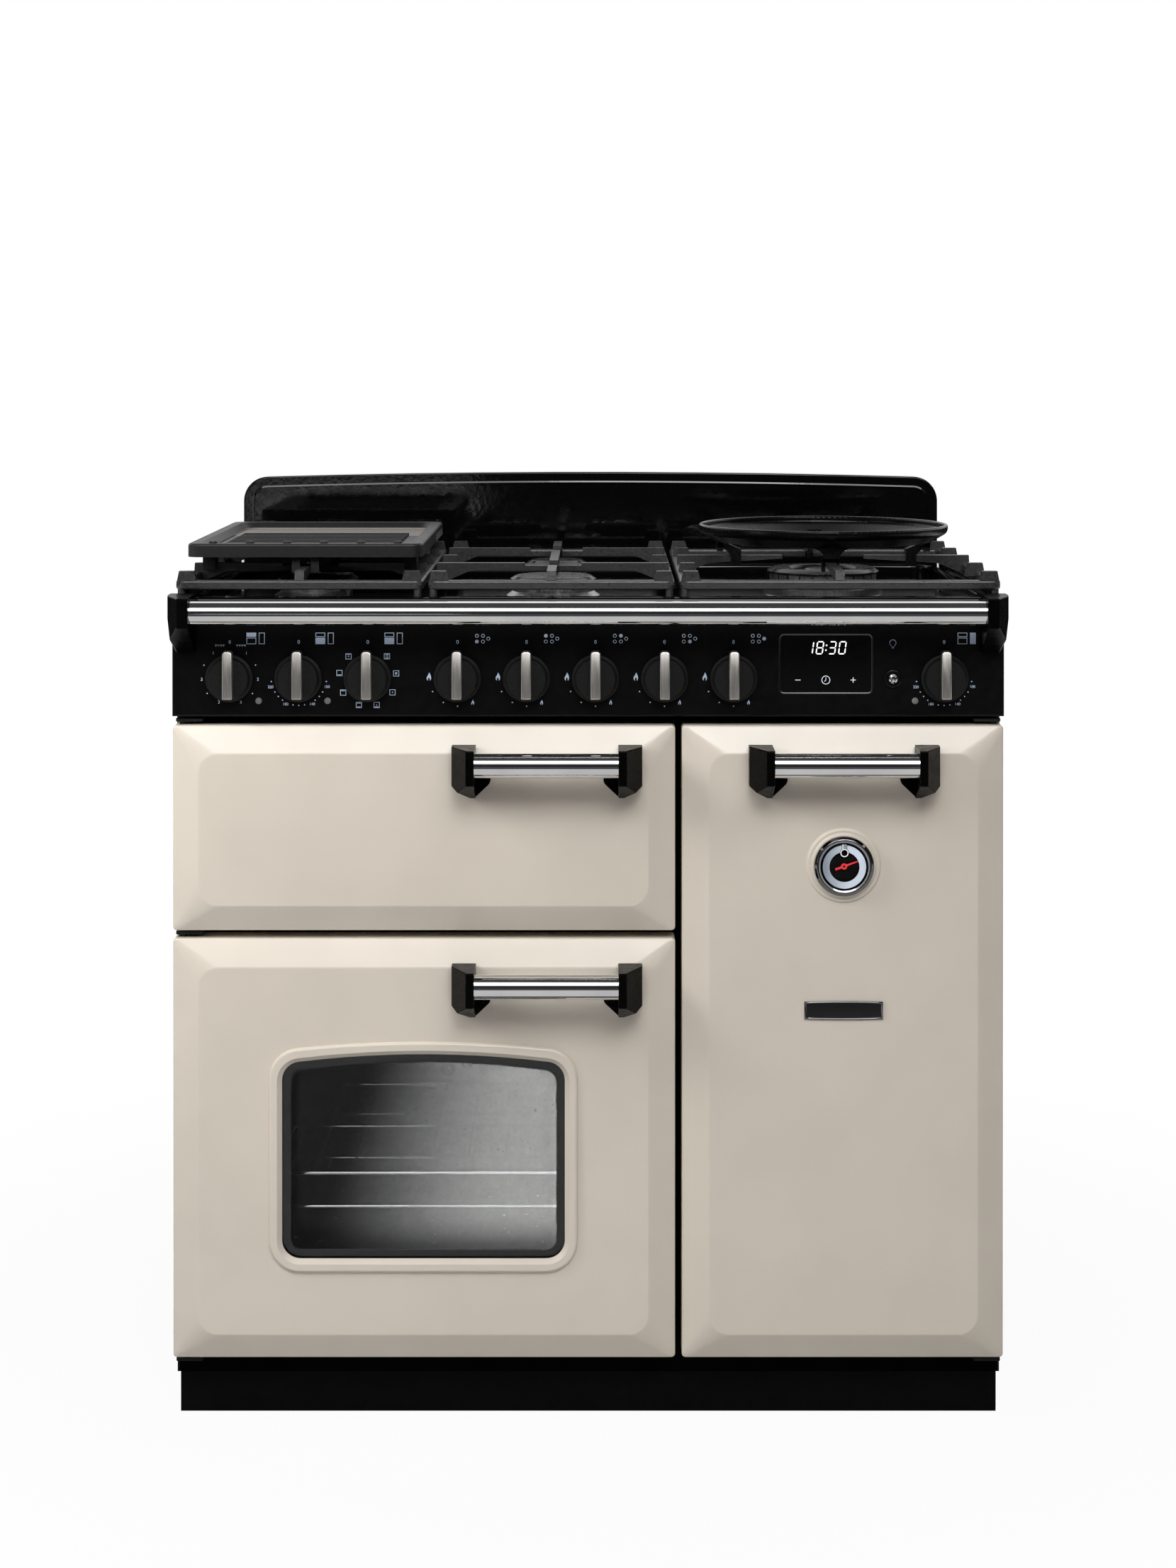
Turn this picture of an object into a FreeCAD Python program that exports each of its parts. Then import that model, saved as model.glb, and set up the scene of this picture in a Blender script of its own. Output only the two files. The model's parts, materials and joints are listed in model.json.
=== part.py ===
import FreeCAD, Part
import math
import os
import Sketcher
from FreeCAD import Vector

# Range cooker, 900 mm class, in millimetres.
# X runs to the right, Y to the back and Z up; the origin is the middle of the footprint on the floor.

SIZES = {
    # Whole cooker
    "overall_width": 900, "overall_depth": 663, "body_width": 898, "panel_wall": 2,
    "foot_height": 46, "hob_height": 895, "handle_reach": 63, "side_lip": 16,
    # Plinth and feet
    "plinth_setback": 4, "plinth_inset": 3, "plinth_lift": 1, "plinth_fold": 26, "plinth_round": 1.5,
    "foot_inset": 60, "foot_front": 70, "foot_pad": 22, "foot_pad_tall": 6, "foot_neck": 16,
    "foot_stem": 7, "foot_plate": 12, "foot_plate_tall": 8,
    # Doors
    "door_inset": 1, "door_base": 74.5, "main_door_height": 453, "grill_door_height": 221.5,
    "door_gap": 8.5, "left_door_width": 542, "door_side_gap": 7, "door_depth": 32,
    "door_back_gap": 4, "door_bevel": 29, "door_field": 13, "field_round": 22, "field_soften": 5,
    "edge_round": 4, "edge_soften": 2.5, "door_wall": 2, "liner_field": 44, "liner_press": 1.5,
    "liner_round": 16, "liner_lap": 8,
    # Hinges
    "hinge_inset": 9, "hinge_depth": 14, "hinge_pin": 4, "hinge_room": 1.2, "hinge_leaf": 3,
    "leaf_out": 7, "leaf_in": 22, "leaf_round": 2, "leaf_drop": 5, "block_half": 7, "block_tall": 26,
    "block_front": 8, "pin_depth": 22, "pin_reach": 18, "low_pin_reach": 23,
    "running_clearance": 0.06, "seat_clearance": 0.3,
    # Window and thermometer
    "window_width": 304, "window_low": -115.5, "window_high": 94, "window_rise": 10.5,
    "window_round": 20, "bead_width": 14, "bead_rise": 4, "bead_soften": 3.4, "bead_slope": 5,
    "pane": 4, "pane_lap": 12, "pane_round": 8, "liner_window_lap": 4, "liner_window_round": 18,
    "thermo_height": 193, "thermo_radius": 32.2, "thermo_ring": 38.5, "thermo_step": 1.6,
    "thermo_soften": 1.4, "thermo_lip": 6, "needle_pin": 1.2, "needle_hub": 3.2, "needle_tail": 10,
    "needle_thick": 0.8,
    # Door handles and handrail
    "handle_length": 204, "handle_bar": 26, "handle_drop": 36, "main_handle_drop": 41, "handle_edge": 36,
    "bracket_width": 25.5, "bracket_up": 17, "bracket_down": 39, "bracket_corner": 25.5,
    "bracket_point": 6.2, "bracket_nose": 8.5, "bracket_side": 14, "bracket_chin": 20,
    "bracket_foot": 9, "bracket_soften": 1.5, "ear_top": 10, "ear_low": 23, "ear_root": 2,
    "ear_reach": 16, "ear_round": 9, "ear_thick": 6, "screw_in": 6.5, "screw_drop": 21.5,
    "screw_recess": 5.4,
    "rail_bar": 25.5, "rail_height": 883, "rail_reach": 45, "rail_bracket": 27, "rail_end_up": 17,
    "rail_end_down": 46, "rail_end_side": 24, "rail_end_nose": 12, "rail_end_foot": 9,
    "rail_end_chin": 15, "rail_end_taper": 7, "rail_end_shoulder": 8, "rail_end_soften": 2,
    # Control panel
    "panel_gap": 9.5, "panel_round": 3, "knob_height": 809, "knob_pitch": 74.4, "oven_knobs_x": -386.5,
    "burner_knobs_x": -140.8, "right_knob_x": 384, "knob_standoff": 5, "knob_radius": 21.5,
    "knob_skirt": 25.5, "knob_depth": 11, "knob_hole": 6, "knob_shaft": 3, "shaft_reach": 40,
    "pointer_width": 11, "pointer_up": 31, "pointer_down": 21, "pointer_depth": 8,
    "pointer_soften": 1.6, "spindle_radius": 4, "spindle_reach": 44, "spindle_tip": 8,
    "clock_x": 256.5, "clock_height": 824, "clock_width": 103, "clock_tall": 66, "clock_round": 6,
    "clock_sink": 0.6, "clock_clearance": 0.2, "clock_lap": 4, "clock_body": 24,
    "button_x": 328.7, "button_height": 808, "button_radius": 5.2,
    "button_rim": 3, "button_ring": 9.5, "button_stem": 2, "button_stem_end": 20,
    "lamp_radius": 3.5, "lamp_height": 784, "left_lamp_x": -355.5, "right_lamp_x": 352.7,
    "lamp_clearance": 0.1, "lamp_flange": 2, "lamp_body": 14,
    "bush_reach": 14, "bush_radius": 9, "block_end": 6, "switch_reach": 52, "tap_reach": 60,
    # Hob
    "hob_rim": 14, "hob_recess": 12, "hob_border": 26, "hob_ledge": 140, "hob_setback": 2,
    "tray_corner": 10, "tray_soften": 4, "well_corner": 26, "well_soften": 5, "burner_hole": 17,
    "small_burner": 29, "medium_burner": 36.5, "large_burner": 48.5, "wok_burner": 65,
    "burner_stub": 24, "burner_neck": 14, "crown_top": 20, "cap_edge": 22.5, "cap_top": 26, "port_base": 12,
    "port_width": 2.2,
    "splash_width": 896, "splash_thick": 24, "splash_corner": 103, "splash_rise": 7,
    "splash_round": 31, "splash_border": 12, "splash_step": 3, "splash_foot": 14, "splash_soften": 2,
    "splash_side": 8, "rise_loss": 0.3,
    "support_side": 2, "support_front": 9, "support_depth": 469, "support_width": 268, "support_gap": 5,
    "support_rail": 12, "support_base": 903, "support_tall": 10, "support_top": 923, "support_round": 10,
    "support_inner_round": 6, "support_soften": 2.5, "support_foot": 4, "middle_bar": 8,
    "finger_width": 10, "finger_gap": 32, "wok_gap": 48, "wok_spine_gap": 80, "finger_tip": 4,
    "finger_arch": 30, "finger_root": 40, "finger_hollow": 9, "lug_length": 20, "lug_pitch": 114.25,
    "griddle_width": 260, "griddle_front": 64, "griddle_depth": 386, "griddle_base": 934,
    "griddle_tall": 15, "griddle_corner": 14, "griddle_soften": 3, "griddle_border": 20,
    "griddle_sink": 8, "griddle_slope": 7, "griddle_ribs": 15, "griddle_rib": 3, "rib_tall": 3.5,
    "rib_inset": 32, "rib_first": 34, "rib_share": 0.62, "griddle_wall": 8, "griddle_hollow": 3,
    "prong_tall": 7, "prong_thick": 6, "prong_root": 4, "boss_pitch": 40.9, "boss_radius": 4.8,
    "boss_rise": 2.4, "boss_front": 11, "boss_soften": 1.8, "cradle_radius": 145, "cradle_base_radius": 126,
    "cradle_rise": 17, "cradle_tall": 20, "cradle_foot": 102, "cradle_flare": 24, "cradle_lip": 5,
    "cradle_arm": 18, "cradle_prong": 4, "cradle_prong_drop": 11,
    # Ovens
    "left_margin": 50, "main_margin": 47, "grill_margin": 36, "cavity_depth": 410,
    "cavity_round": 14, "cavity_flange": 14, "flange_round": 6, "fan_radius": 68, "chamber_gap": 34,
    "chamber_round": 10, "plenum_depth": 42, "shaft_hole": 6, "suction_ring": 34, "suction_hole": 9,
    "suction_middle": 10, "side_slot": 6, "side_slot_tall": 22, "side_slot_pitch": 30, "side_slot_edge": 14,
    "fan_setback": 8, "fan_shaft": 3, "fan_hub": 9, "motor_radius": 34, "motor_depth": 26,
    "element_wire": 3.5, "element_gap": 16, "element_tail": 20, "tail_level": 13.6, "grill_wire": 3.6,
    "grill_bend": 18, "grill_drop": 22, "grill_front": 60, "grill_rear": 40, "grill_side": 50,
    "runner_height": 58, "runner_width": 16, "runner_thick": 3, "runner_front": 12, "runner_rear": 20,
    "tray_front": 16, "tray_depth": 314, "tray_tall": 34, "tray_side": 18, "tray_rim_side": 2,
    "trivet_side": 26,
    "shelf_wire": 2.5, "cross_wire": 1.6, "ladder_wire": 2, "shelf_inset": 12, "ladder_ends": 30,
    "ladder_post": 40, "post_stand": 6, "rung_stand": 9, "rack_low": 55, "rack_high": 46, "rack_ends": 16,
    "shelf_front": 26, "shelf_rear": 24, "shelf_lift": 0.1,
    # Casing back and gas rail
    "service_width": 120, "service_height": 80, "plate_seam": 0.3, "cable_hole": 12, "gas_hole": 15,
    "louvre_length": 120, "louvre_height": 6, "louvre_base": 90, "louvre_pitch": 18,
    "inlet_drop": 29, "inlet_radius": 12, "inlet_bore": 9.3, "inlet_length": 40, "inlet_inset": 4,
    "thread_length": 16, "rail_radius": 9, "rail_setback": 46, "rail_start": 30, "rail_end": 16,
    "supply_radius": 8, "feed_radius": 4, "feed_bend": 12, "feed_offset": 9,
}

doc = FreeCAD.newDocument("range_cooker")
dims = doc.addObject("Spreadsheet::Sheet", "dims")
for row, (alias, number) in enumerate(SIZES.items(), 1):
    dims.set(f"A{row}", alias.replace("_", " "))
    dims.set(f"B{row}", str(number))
    dims.setAlias(f"B{row}", alias)
doc.recompute()


class Size:
    """A number together with the spreadsheet formula that gives it."""

    def __init__(self, value, text):
        self.value = float(value)
        self.text = text

    @staticmethod
    def of(other):
        if isinstance(other, Size):
            return other
        return Size(other, f"({float(other)!r})")

    def join(self, other, sign, value):
        return Size(value, f"({self.text} {sign} {other.text})")

    def __add__(self, other):
        other = Size.of(other)
        return self.join(other, "+", self.value + other.value)

    def __radd__(self, other):
        return Size.of(other) + self

    def __sub__(self, other):
        other = Size.of(other)
        return self.join(other, "-", self.value - other.value)

    def __rsub__(self, other):
        return Size.of(other) - self

    def __mul__(self, other):
        other = Size.of(other)
        return self.join(other, "*", self.value * other.value)

    def __rmul__(self, other):
        return Size.of(other) * self

    def __truediv__(self, other):
        other = Size.of(other)
        return self.join(other, "/", self.value / other.value)

    def __neg__(self):
        return Size(-self.value, f"(-1 * {self.text})")


class Table:
    """Gives each spreadsheet value as a Size, by its alias."""

    def __getattr__(self, alias):
        return Size(dims.get(alias), f"dims.{alias}")


d = Table()


def num(size):
    return Size.of(size).value


def bind(obj, prop, size):
    obj.setExpression(prop, Size.of(size).text)


def place(obj, at):
    for axis, size in zip("xyz", at):
        bind(obj, f"Placement.Base.{axis}", size)


# Sketch outlines

def hold(sketch, geo, pos, x, y):
    """Tie one sketch point to its place."""
    for kind, size in (("DistanceX", Size.of(x)), ("DistanceY", Size.of(y))):
        index = sketch.addConstraint(Sketcher.Constraint(kind, -1, 1, geo, pos, size.value))
        if "dims." in size.text:
            sketch.setExpression(f"Constraints[{index}]", size.text)


def hold_radius(sketch, geo, radius):
    radius = Size.of(radius)
    index = sketch.addConstraint(Sketcher.Constraint("Radius", geo, radius.value))
    if "dims." in radius.text:
        sketch.setExpression(f"Constraints[{index}]", radius.text)


def arc_between(centre, radius, first, last):
    start = math.atan2(first.y - centre.y, first.x - centre.x)
    end = math.atan2(last.y - centre.y, last.x - centre.x)
    if end < start:
        end += 2 * math.pi
    return Part.ArcOfCircle(Part.Circle(centre, Vector(0, 0, 1), radius), start, end)


def polygon(*corners):
    """A closed outline; a corner is (x, y) or (x, y, radius)."""

    def draw(sketch):
        spots = [Vector(num(c[0]), num(c[1]), 0) for c in corners]
        count = len(spots)
        reached = list(spots)
        left = list(spots)
        arcs = {}
        for i, corner in enumerate(corners):
            if len(corner) < 3:
                continue
            radius = num(corner[2])
            before = (spots[i] - spots[i - 1]).normalize()
            after = (spots[(i + 1) % count] - spots[i]).normalize()
            reach = radius * math.tan(before.getAngle(after) / 2)
            reached[i] = spots[i] - before * reach
            left[i] = spots[i] + after * reach
            turn = 1 if before.x * after.y - before.y * after.x > 0 else -1
            centre = reached[i] + Vector(-before.y, before.x, 0) * (turn * radius)
            first, last = (reached[i], left[i]) if turn > 0 else (left[i], reached[i])
            arcs[i] = (turn, arc_between(centre, radius, first, last))
        lines = []
        for i in range(count):
            segment = Part.LineSegment(left[i], reached[(i + 1) % count])
            lines.append(sketch.addGeometry(segment))
        for i, corner in enumerate(corners):
            if i not in arcs:
                sketch.addConstraint(Sketcher.Constraint("Coincident", lines[i - 1], 2, lines[i], 1))
                hold(sketch, lines[i], 1, corner[0], corner[1])
                continue
            turn, curve = arcs[i]
            arc = sketch.addGeometry(curve)
            first, last = (1, 2) if turn > 0 else (2, 1)
            sketch.addConstraint(Sketcher.Constraint("Tangent", lines[i - 1], 2, arc, first))
            sketch.addConstraint(Sketcher.Constraint("Tangent", arc, last, lines[i], 1))
            hold_radius(sketch, arc, corner[2])
            spot = sketch.addGeometry(Part.Point(spots[i]), True)
            sketch.addConstraint(Sketcher.Constraint("PointOnObject", spot, 1, lines[i - 1]))
            sketch.addConstraint(Sketcher.Constraint("PointOnObject", spot, 1, lines[i]))
            hold(sketch, spot, 1, corner[0], corner[1])

    return draw


def rect(x0, x1, y0, y1, radius=None):
    corners = [(x0, y0), (x1, y0), (x1, y1), (x0, y1)]
    if radius is not None:
        corners = [(x, y, radius) for x, y in corners]
    return polygon(*corners)


def circle(x, y, radius):
    def draw(sketch):
        ring = Part.Circle(Vector(num(x), num(y), 0), Vector(0, 0, 1), num(radius))
        geo = sketch.addGeometry(ring)
        hold_radius(sketch, geo, radius)
        hold(sketch, geo, 3, x, y)

    return draw


def arched(half, low, high, rise):
    """A rectangle about x = 0 whose top side is bowed up by rise."""

    def draw(sketch):
        w, a, b, s = num(half), num(low), num(high), num(rise)
        radius = (half * half + rise * rise) / (2 * rise)
        spots = [Vector(w, b, 0), Vector(-w, b, 0), Vector(-w, a, 0), Vector(w, a, 0)]
        arc = sketch.addGeometry(arc_between(Vector(0, b + s - radius.value, 0), radius.value, *spots[:2]))
        side = [arc]
        for i in (1, 2, 3):
            side.append(sketch.addGeometry(Part.LineSegment(spots[i], spots[(i + 1) % 4])))
        for i in range(4):
            sketch.addConstraint(Sketcher.Constraint("Coincident", side[i], 2, side[(i + 1) % 4], 1))
        hold_radius(sketch, arc, radius)
        for i, (x, y) in enumerate([(half, high), (-half, high), (-half, low), (half, low)]):
            hold(sketch, side[i], 1, x, y)

    return draw


class Piece:
    """A PartDesign body with a short way to add bound features to it."""

    def __init__(self, label, at=None):
        self.body = doc.addObject("PartDesign::Body", label)
        self.body.AllowCompound = True
        self.origin = {item.Role: item for item in self.body.Origin.OriginFeatures}
        if at:
            place(self.body, at)

    def sketch(self, plane, offset, *outlines):
        sketch = self.body.newObject("Sketcher::SketchObject", f"{self.body.Name}_sketch")
        sketch.AttachmentSupport = (self.origin[f"{plane}_Plane"], [""])
        sketch.MapMode = "FlatFace"
        bind(sketch, "AttachmentOffset.Base.z", offset)
        for draw in outlines:
            draw(sketch)
        return sketch

    def feature(self, kind, profile=None):
        feature = self.body.newObject(f"PartDesign::{kind}", f"{self.body.Name}_{kind.lower()}")
        if profile is not None:
            feature.Profile = profile
        return feature

    def pad(self, plane, low, high, *outlines):
        """Add material between two places on the plane's own axis."""
        start = -Size.of(high) if plane == "XZ" else low
        feature = self.feature("Pad", self.sketch(plane, start, *outlines))
        bind(feature, "Length", Size.of(high) - low)
        return feature

    def pocket(self, plane, low, high, *outlines):
        """Take material away between two places on the plane's own axis."""
        start = -Size.of(low) if plane == "XZ" else high
        feature = self.feature("Pocket", self.sketch(plane, start, *outlines))
        bind(feature, "Length", Size.of(high) - low)
        return feature

    def turn(self, axis, *outlines):
        """Turn a profile of (radius, height) about the Y or the Z axis."""
        plane = "XY" if axis == "Y" else "XZ"
        feature = self.feature("Revolution", self.sketch(plane, 0, *outlines))
        feature.ReferenceAxis = (self.origin[f"{axis}_Axis"], [""])
        feature.Angle = 360
        return feature

    def loft(self, kind, first, second):
        """Join two outlines, each given as (y place, outline)."""
        sketches = [self.sketch("XZ", -Size.of(y), draw) for y, draw in (first, second)]
        feature = self.feature(kind, sketches[0])
        feature.Sections = [sketches[1]]
        feature.Ruled = True
        return feature

    def around(self, axis, features, count):
        pattern = self.feature("PolarPattern")
        pattern.Originals = features
        pattern.Axis = (self.origin[f"{axis}_Axis"], [""])
        pattern.Angle = 360
        pattern.Occurrences = count
        self.body.Tip = pattern
        return pattern

    def soften(self, radius, choose, kind="Fillet"):
        """Round or chamfer the edges that the rule picks."""
        doc.recompute()
        tip = self.body.Tip
        names = [f"Edge{i}" for i, edge in enumerate(tip.Shape.Edges, 1) if choose(edge)]
        feature = self.feature(kind)
        feature.Base = (tip, names)
        bind(feature, "Radius" if kind == "Fillet" else "Size", radius)
        return feature


def near(value, size, slack=0.05):
    return abs(value - num(size)) < slack


def lies(edge, **where):
    """True for an edge that keeps the given coordinates all along."""
    box = edge.BoundBox
    for axis, size in where.items():
        low, high = getattr(box, axis.upper() + "Min"), getattr(box, axis.upper() + "Max")
        if not (near(low, size) and near(high, size)):
            return False
    return True


def runs(edge, axis):
    """True for a straight edge along one axis."""
    box = edge.BoundBox
    spans = {"x": box.XLength, "y": box.YLength, "z": box.ZLength}
    return spans.pop(axis) > 0.1 and max(spans.values()) < 0.01


def box(label, x, y, z):
    """A Part box between pairs of places."""
    solid = doc.addObject("Part::Box", label)
    for prop, span in (("Length", x), ("Width", y), ("Height", z)):
        bind(solid, prop, Size.of(span[1]) - span[0])
    place(solid, (x[0], y[0], z[0]))
    return solid


def cylinder(label, radius, length, at, axis="z"):
    solid = doc.addObject("Part::Cylinder", label)
    bind(solid, "Radius", radius)
    bind(solid, "Height", length)
    turned = {"z": FreeCAD.Rotation(), "x": FreeCAD.Rotation(Vector(0, 1, 0), 90),
              "y": FreeCAD.Rotation(Vector(1, 0, 0), -90)}
    solid.Placement = FreeCAD.Placement(Vector(), turned[axis])
    place(solid, at)
    return solid


def cut(label, base, tool):
    result = doc.addObject("Part::Cut", label)
    result.Base = base
    result.Tool = tool
    return result


def fuse(label, shapes):
    result = doc.addObject("Part::MultiFuse", label)
    result.Shapes = shapes
    return result


nodes = {}


def node(label, *items):
    """Name a finished piece; several solids go together as a compound."""
    solids = [item.body if isinstance(item, Piece) else item for item in items]
    if len(solids) == 1:
        result = solids[0]
    else:
        result = doc.addObject("Part::Compound", label)
        result.Links = solids
    result.Label = label
    nodes[label] = result
    return result


# Shared places

half = d.body_width / 2
inner_half = half - d.panel_wall
y_front = -d.overall_depth / 2
y_back = d.overall_depth / 2
y_edge = y_front + d.handle_reach
y_field = y_edge - d.door_field
y_frame = y_edge + d.door_depth + d.door_back_gap
y_inside = y_frame + d.panel_wall
z_main_top = d.door_base + d.main_door_height
z_grill_base = z_main_top + d.door_gap
z_door_top = z_grill_base + d.grill_door_height
z_panel = z_door_top + d.panel_gap
z_tray = d.hob_height - d.hob_rim
z_floor = d.hob_height - d.hob_recess
x_left = -half + d.door_inset
x_left_end = x_left + d.left_door_width
x_tall = x_left_end + d.door_side_gap
x_right = half - d.door_inset
tall_width = x_right - x_tall
tall_height = z_door_top - d.door_base

cavities = {
    "grill": (x_left + d.left_margin, x_left_end - d.left_margin,
              z_grill_base + d.grill_margin, z_door_top - d.grill_margin),
    "main_oven": (x_left + d.left_margin, x_left_end - d.left_margin,
                  d.door_base + d.main_margin, z_main_top - d.main_margin),
    "tall_oven": (x_tall + d.left_margin, x_right - d.left_margin,
                  d.door_base + d.main_margin, z_door_top - d.main_margin),
}
y_cavity_back = y_inside + d.cavity_depth


# Casing: side panels with a turned-in top edge, and a back made of five plates

def side_panel(label, sign):
    piece = Piece(label)
    outer, inner = sign * half, sign * inner_half
    lip = sign * (half - d.side_lip)
    piece.pad("XZ", y_frame, y_back - d.panel_wall, polygon(
        (inner, d.foot_height), (outer, d.foot_height), (outer, z_tray),
        (lip, z_tray), (lip, z_tray - d.panel_wall), (inner, z_tray - d.panel_wall)))
    return piece


def back_plate(label, sides, levels, *holes):
    piece = Piece(label)
    piece.pad("XZ", y_back - d.panel_wall, y_back, rect(*sides, *levels))
    if holes:
        piece.pocket("XZ", y_back - d.panel_wall, y_back, *holes)
    return piece


slot_half = d.louvre_length / 2
slots = [rect(x - slot_half, x + slot_half, z, z + d.louvre_height) for x in (-half / 2, half / 2)
         for z in (d.foot_height + d.louvre_base + d.louvre_pitch * i for i in range(7))]
inlet_x, inlet_z = half - d.service_width / 2, d.knob_height - d.inlet_drop
service_edge = half - d.service_width
service = (inlet_z - d.service_height / 2, inlet_z + d.service_height / 2)
back = [
    back_plate("louvred_back", (-half, half), (d.foot_height, service[0] - d.plate_seam), *slots),
    back_plate("cable_plate", (-half, -service_edge - d.plate_seam), service,
               circle(-inlet_x, inlet_z, d.cable_hole)),
    back_plate("middle_plate", (-service_edge, service_edge), service),
    back_plate("gas_plate", (service_edge + d.plate_seam, half), service,
               circle(inlet_x, inlet_z, d.gas_hole)),
    back_plate("upper_back", (-half, half), (service[1] + d.plate_seam, z_tray)),
]
node("casing_panels", side_panel("left_side", -1), side_panel("right_side", 1), *back)

# Chassis: front frame with three oven mouths, base plate and the shelf under the controls

frame_plate = Piece("front_frame")
frame_plate.pad("XZ", y_frame, y_inside, rect(-inner_half, inner_half, d.foot_height, z_panel))
frame_plate.pocket("XZ", y_frame, y_inside,
                   *[rect(*spans, d.cavity_round) for spans in cavities.values()])
across = (-inner_half, inner_half)
front_to_back = (y_inside, y_back - d.panel_wall)
base_plate = box("base_plate", across, front_to_back,
                 (d.foot_height, d.foot_height + d.panel_wall))
shelf_plate = box("control_shelf", across, front_to_back, (z_panel - d.panel_wall, z_panel))
node("chassis", frame_plate, base_plate, shelf_plate)

# Plinth and feet

plinth = Piece("plinth")
y_plinth = y_frame + d.plinth_setback
plinth_fold = y_plinth + d.plinth_fold
plinth.pad("YZ", -half + d.plinth_inset, half - d.plinth_inset, polygon(
    (y_plinth, d.plinth_lift), (y_plinth + d.panel_wall, d.plinth_lift),
    (y_plinth + d.panel_wall, d.foot_height - d.panel_wall), (plinth_fold, d.foot_height - d.panel_wall),
    (plinth_fold, d.foot_height), (y_plinth, d.foot_height)))
plinth.soften(d.plinth_round, lambda e: runs(e, "x") and lies(e, y=y_plinth, z=d.foot_height))
node("plinth", plinth)


def foot(label, x, y):
    piece = Piece(label, at=(x, y, 0))
    pad, neck, stem, plate = d.foot_pad, d.foot_neck, d.foot_stem, d.foot_plate
    shoulder, seat = d.foot_pad_tall + 4, d.foot_height - d.foot_plate_tall
    piece.turn("Z", polygon((0, 0), (pad, 0), (pad, d.foot_pad_tall), (neck, shoulder), (stem, shoulder),
                            (stem, seat), (plate, seat), (plate, d.foot_height), (0, d.foot_height)))
    return piece


feet = [foot(f"foot_{i}", x, y) for i, (x, y) in enumerate(
    [(side * (half - d.foot_inset), y) for y in (y_frame + d.foot_front, y_back - d.foot_inset)
     for side in (-1, 1)], 1)]
node("levelling_feet", *feet)

# Hob tray with five burner holes

x_first = -half + d.support_side + d.support_width / 2
x_second = x_first + d.support_width + d.support_gap
right_width = d.body_width - 2 * (d.support_side + d.support_width + d.support_gap)
x_third = half - d.support_side - right_width / 2
y_lugs = [y_edge + d.support_front + d.support_rail / 2 + d.lug_pitch * i for i in range(5)]
burners = {
    "front_left": (x_first, y_lugs[1], d.medium_burner), "rear_left": (x_first, y_lugs[3], d.small_burner),
    "rear_centre": (x_second, y_lugs[3], d.medium_burner),
    "front_centre": (x_second, y_lugs[1], d.large_burner), "wok": (x_third, y_lugs[2], d.wok_burner),
}
y_tray = y_edge + d.hob_setback
tray = Piece("hob_tray")
tray.pad("XY", z_tray, d.hob_height, rect(-half, half, y_tray, y_back, d.tray_corner))
tray.soften(d.tray_soften, lambda e: near(e.BoundBox.ZMin, d.hob_height)
            and near(e.BoundBox.ZMax, d.hob_height))
well = (-half + d.hob_border, half - d.hob_border, y_tray + d.hob_border, y_back - d.hob_ledge)
tray.pocket("XY", z_floor, d.hob_height, rect(*well, d.well_corner))
tray.soften(d.well_soften, lambda e: lies(e, z=d.hob_height) and abs(e.BoundBox.Center.x) < num(half) - 8
            and num(y_tray) + 8 < e.BoundBox.Center.y < num(y_back) - 20)
gap = d.panel_wall
tray.pocket("XY", z_tray, d.hob_height - 2 * d.panel_wall,
            rect(-half + gap, half - gap, y_tray + gap, y_back - gap, d.tray_corner - gap),
            rect(well[0] - gap, well[1] + gap, well[2] - gap, well[3] + gap, d.well_corner + gap))
tray.pocket("XY", z_tray, z_floor, *[circle(x, y, d.burner_hole) for x, y, r in burners.values()])
node("hob_tray", tray)

# Splashback at the rear, with an arched top and a raised border

splash = Piece("splashback", at=(0, y_back, d.hob_height))
splash_half = d.splash_width / 2
splash.pad("XZ", -d.splash_thick, 0, arched(splash_half, 0, d.splash_corner, d.splash_rise))
splash.soften(d.splash_round, lambda e: runs(e, "y") and e.BoundBox.Center.z > 50)
inset = d.splash_border
step = d.splash_step - d.splash_thick
splash.pocket("XZ", -d.splash_thick, step, arched(
    splash_half - inset, d.splash_foot, d.splash_corner - inset, d.splash_rise - d.rise_loss))
splash.soften(d.splash_round - inset, lambda e: runs(e, "y") and e.BoundBox.YLength < 4
              and e.BoundBox.Center.z > 50)
splash.soften(d.splash_soften, lambda e: near(e.BoundBox.YMin, -d.splash_thick)
              and near(e.BoundBox.YMax, -d.splash_thick)
              and e.BoundBox.ZMax > 1 and (abs(e.BoundBox.XMax) > num(splash_half) - 5
                                          or abs(e.BoundBox.XMin) > num(splash_half) - 5
                                          or e.BoundBox.ZMin > num(d.splash_corner) - 6))
splash.pocket("XZ", step + d.panel_wall, 0, arched(
    splash_half - d.splash_side, d.panel_wall, d.splash_corner - inset, d.splash_rise - d.rise_loss))
node("splashback", splash)

# Control panel, a folded shell with the holes for the controls

knobs = {
    "grill_knob": d.oven_knobs_x, "main_oven_thermostat_knob": d.oven_knobs_x + d.knob_pitch,
    "main_oven_function_knob": d.oven_knobs_x + 2 * d.knob_pitch,
    "front_left_burner_knob": d.burner_knobs_x, "rear_left_burner_knob": d.burner_knobs_x + d.knob_pitch,
    "rear_centre_burner_knob": d.burner_knobs_x + 2 * d.knob_pitch,
    "front_centre_burner_knob": d.burner_knobs_x + 3 * d.knob_pitch,
    "wok_burner_knob": d.burner_knobs_x + 4 * d.knob_pitch, "tall_oven_thermostat_knob": d.right_knob_x,
}
lamps = [(d.left_lamp_x, d.lamp_height), (d.left_lamp_x + d.knob_pitch, d.lamp_height),
         (d.right_lamp_x, d.lamp_height)]
y_panel_back = y_edge + d.panel_wall
clock_half, clock_mid = d.clock_width / 2, d.clock_tall / 2
panel = Piece("control_panel")
panel.pad("XZ", y_edge, y_frame, rect(-half, half, z_panel, z_tray))
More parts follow.
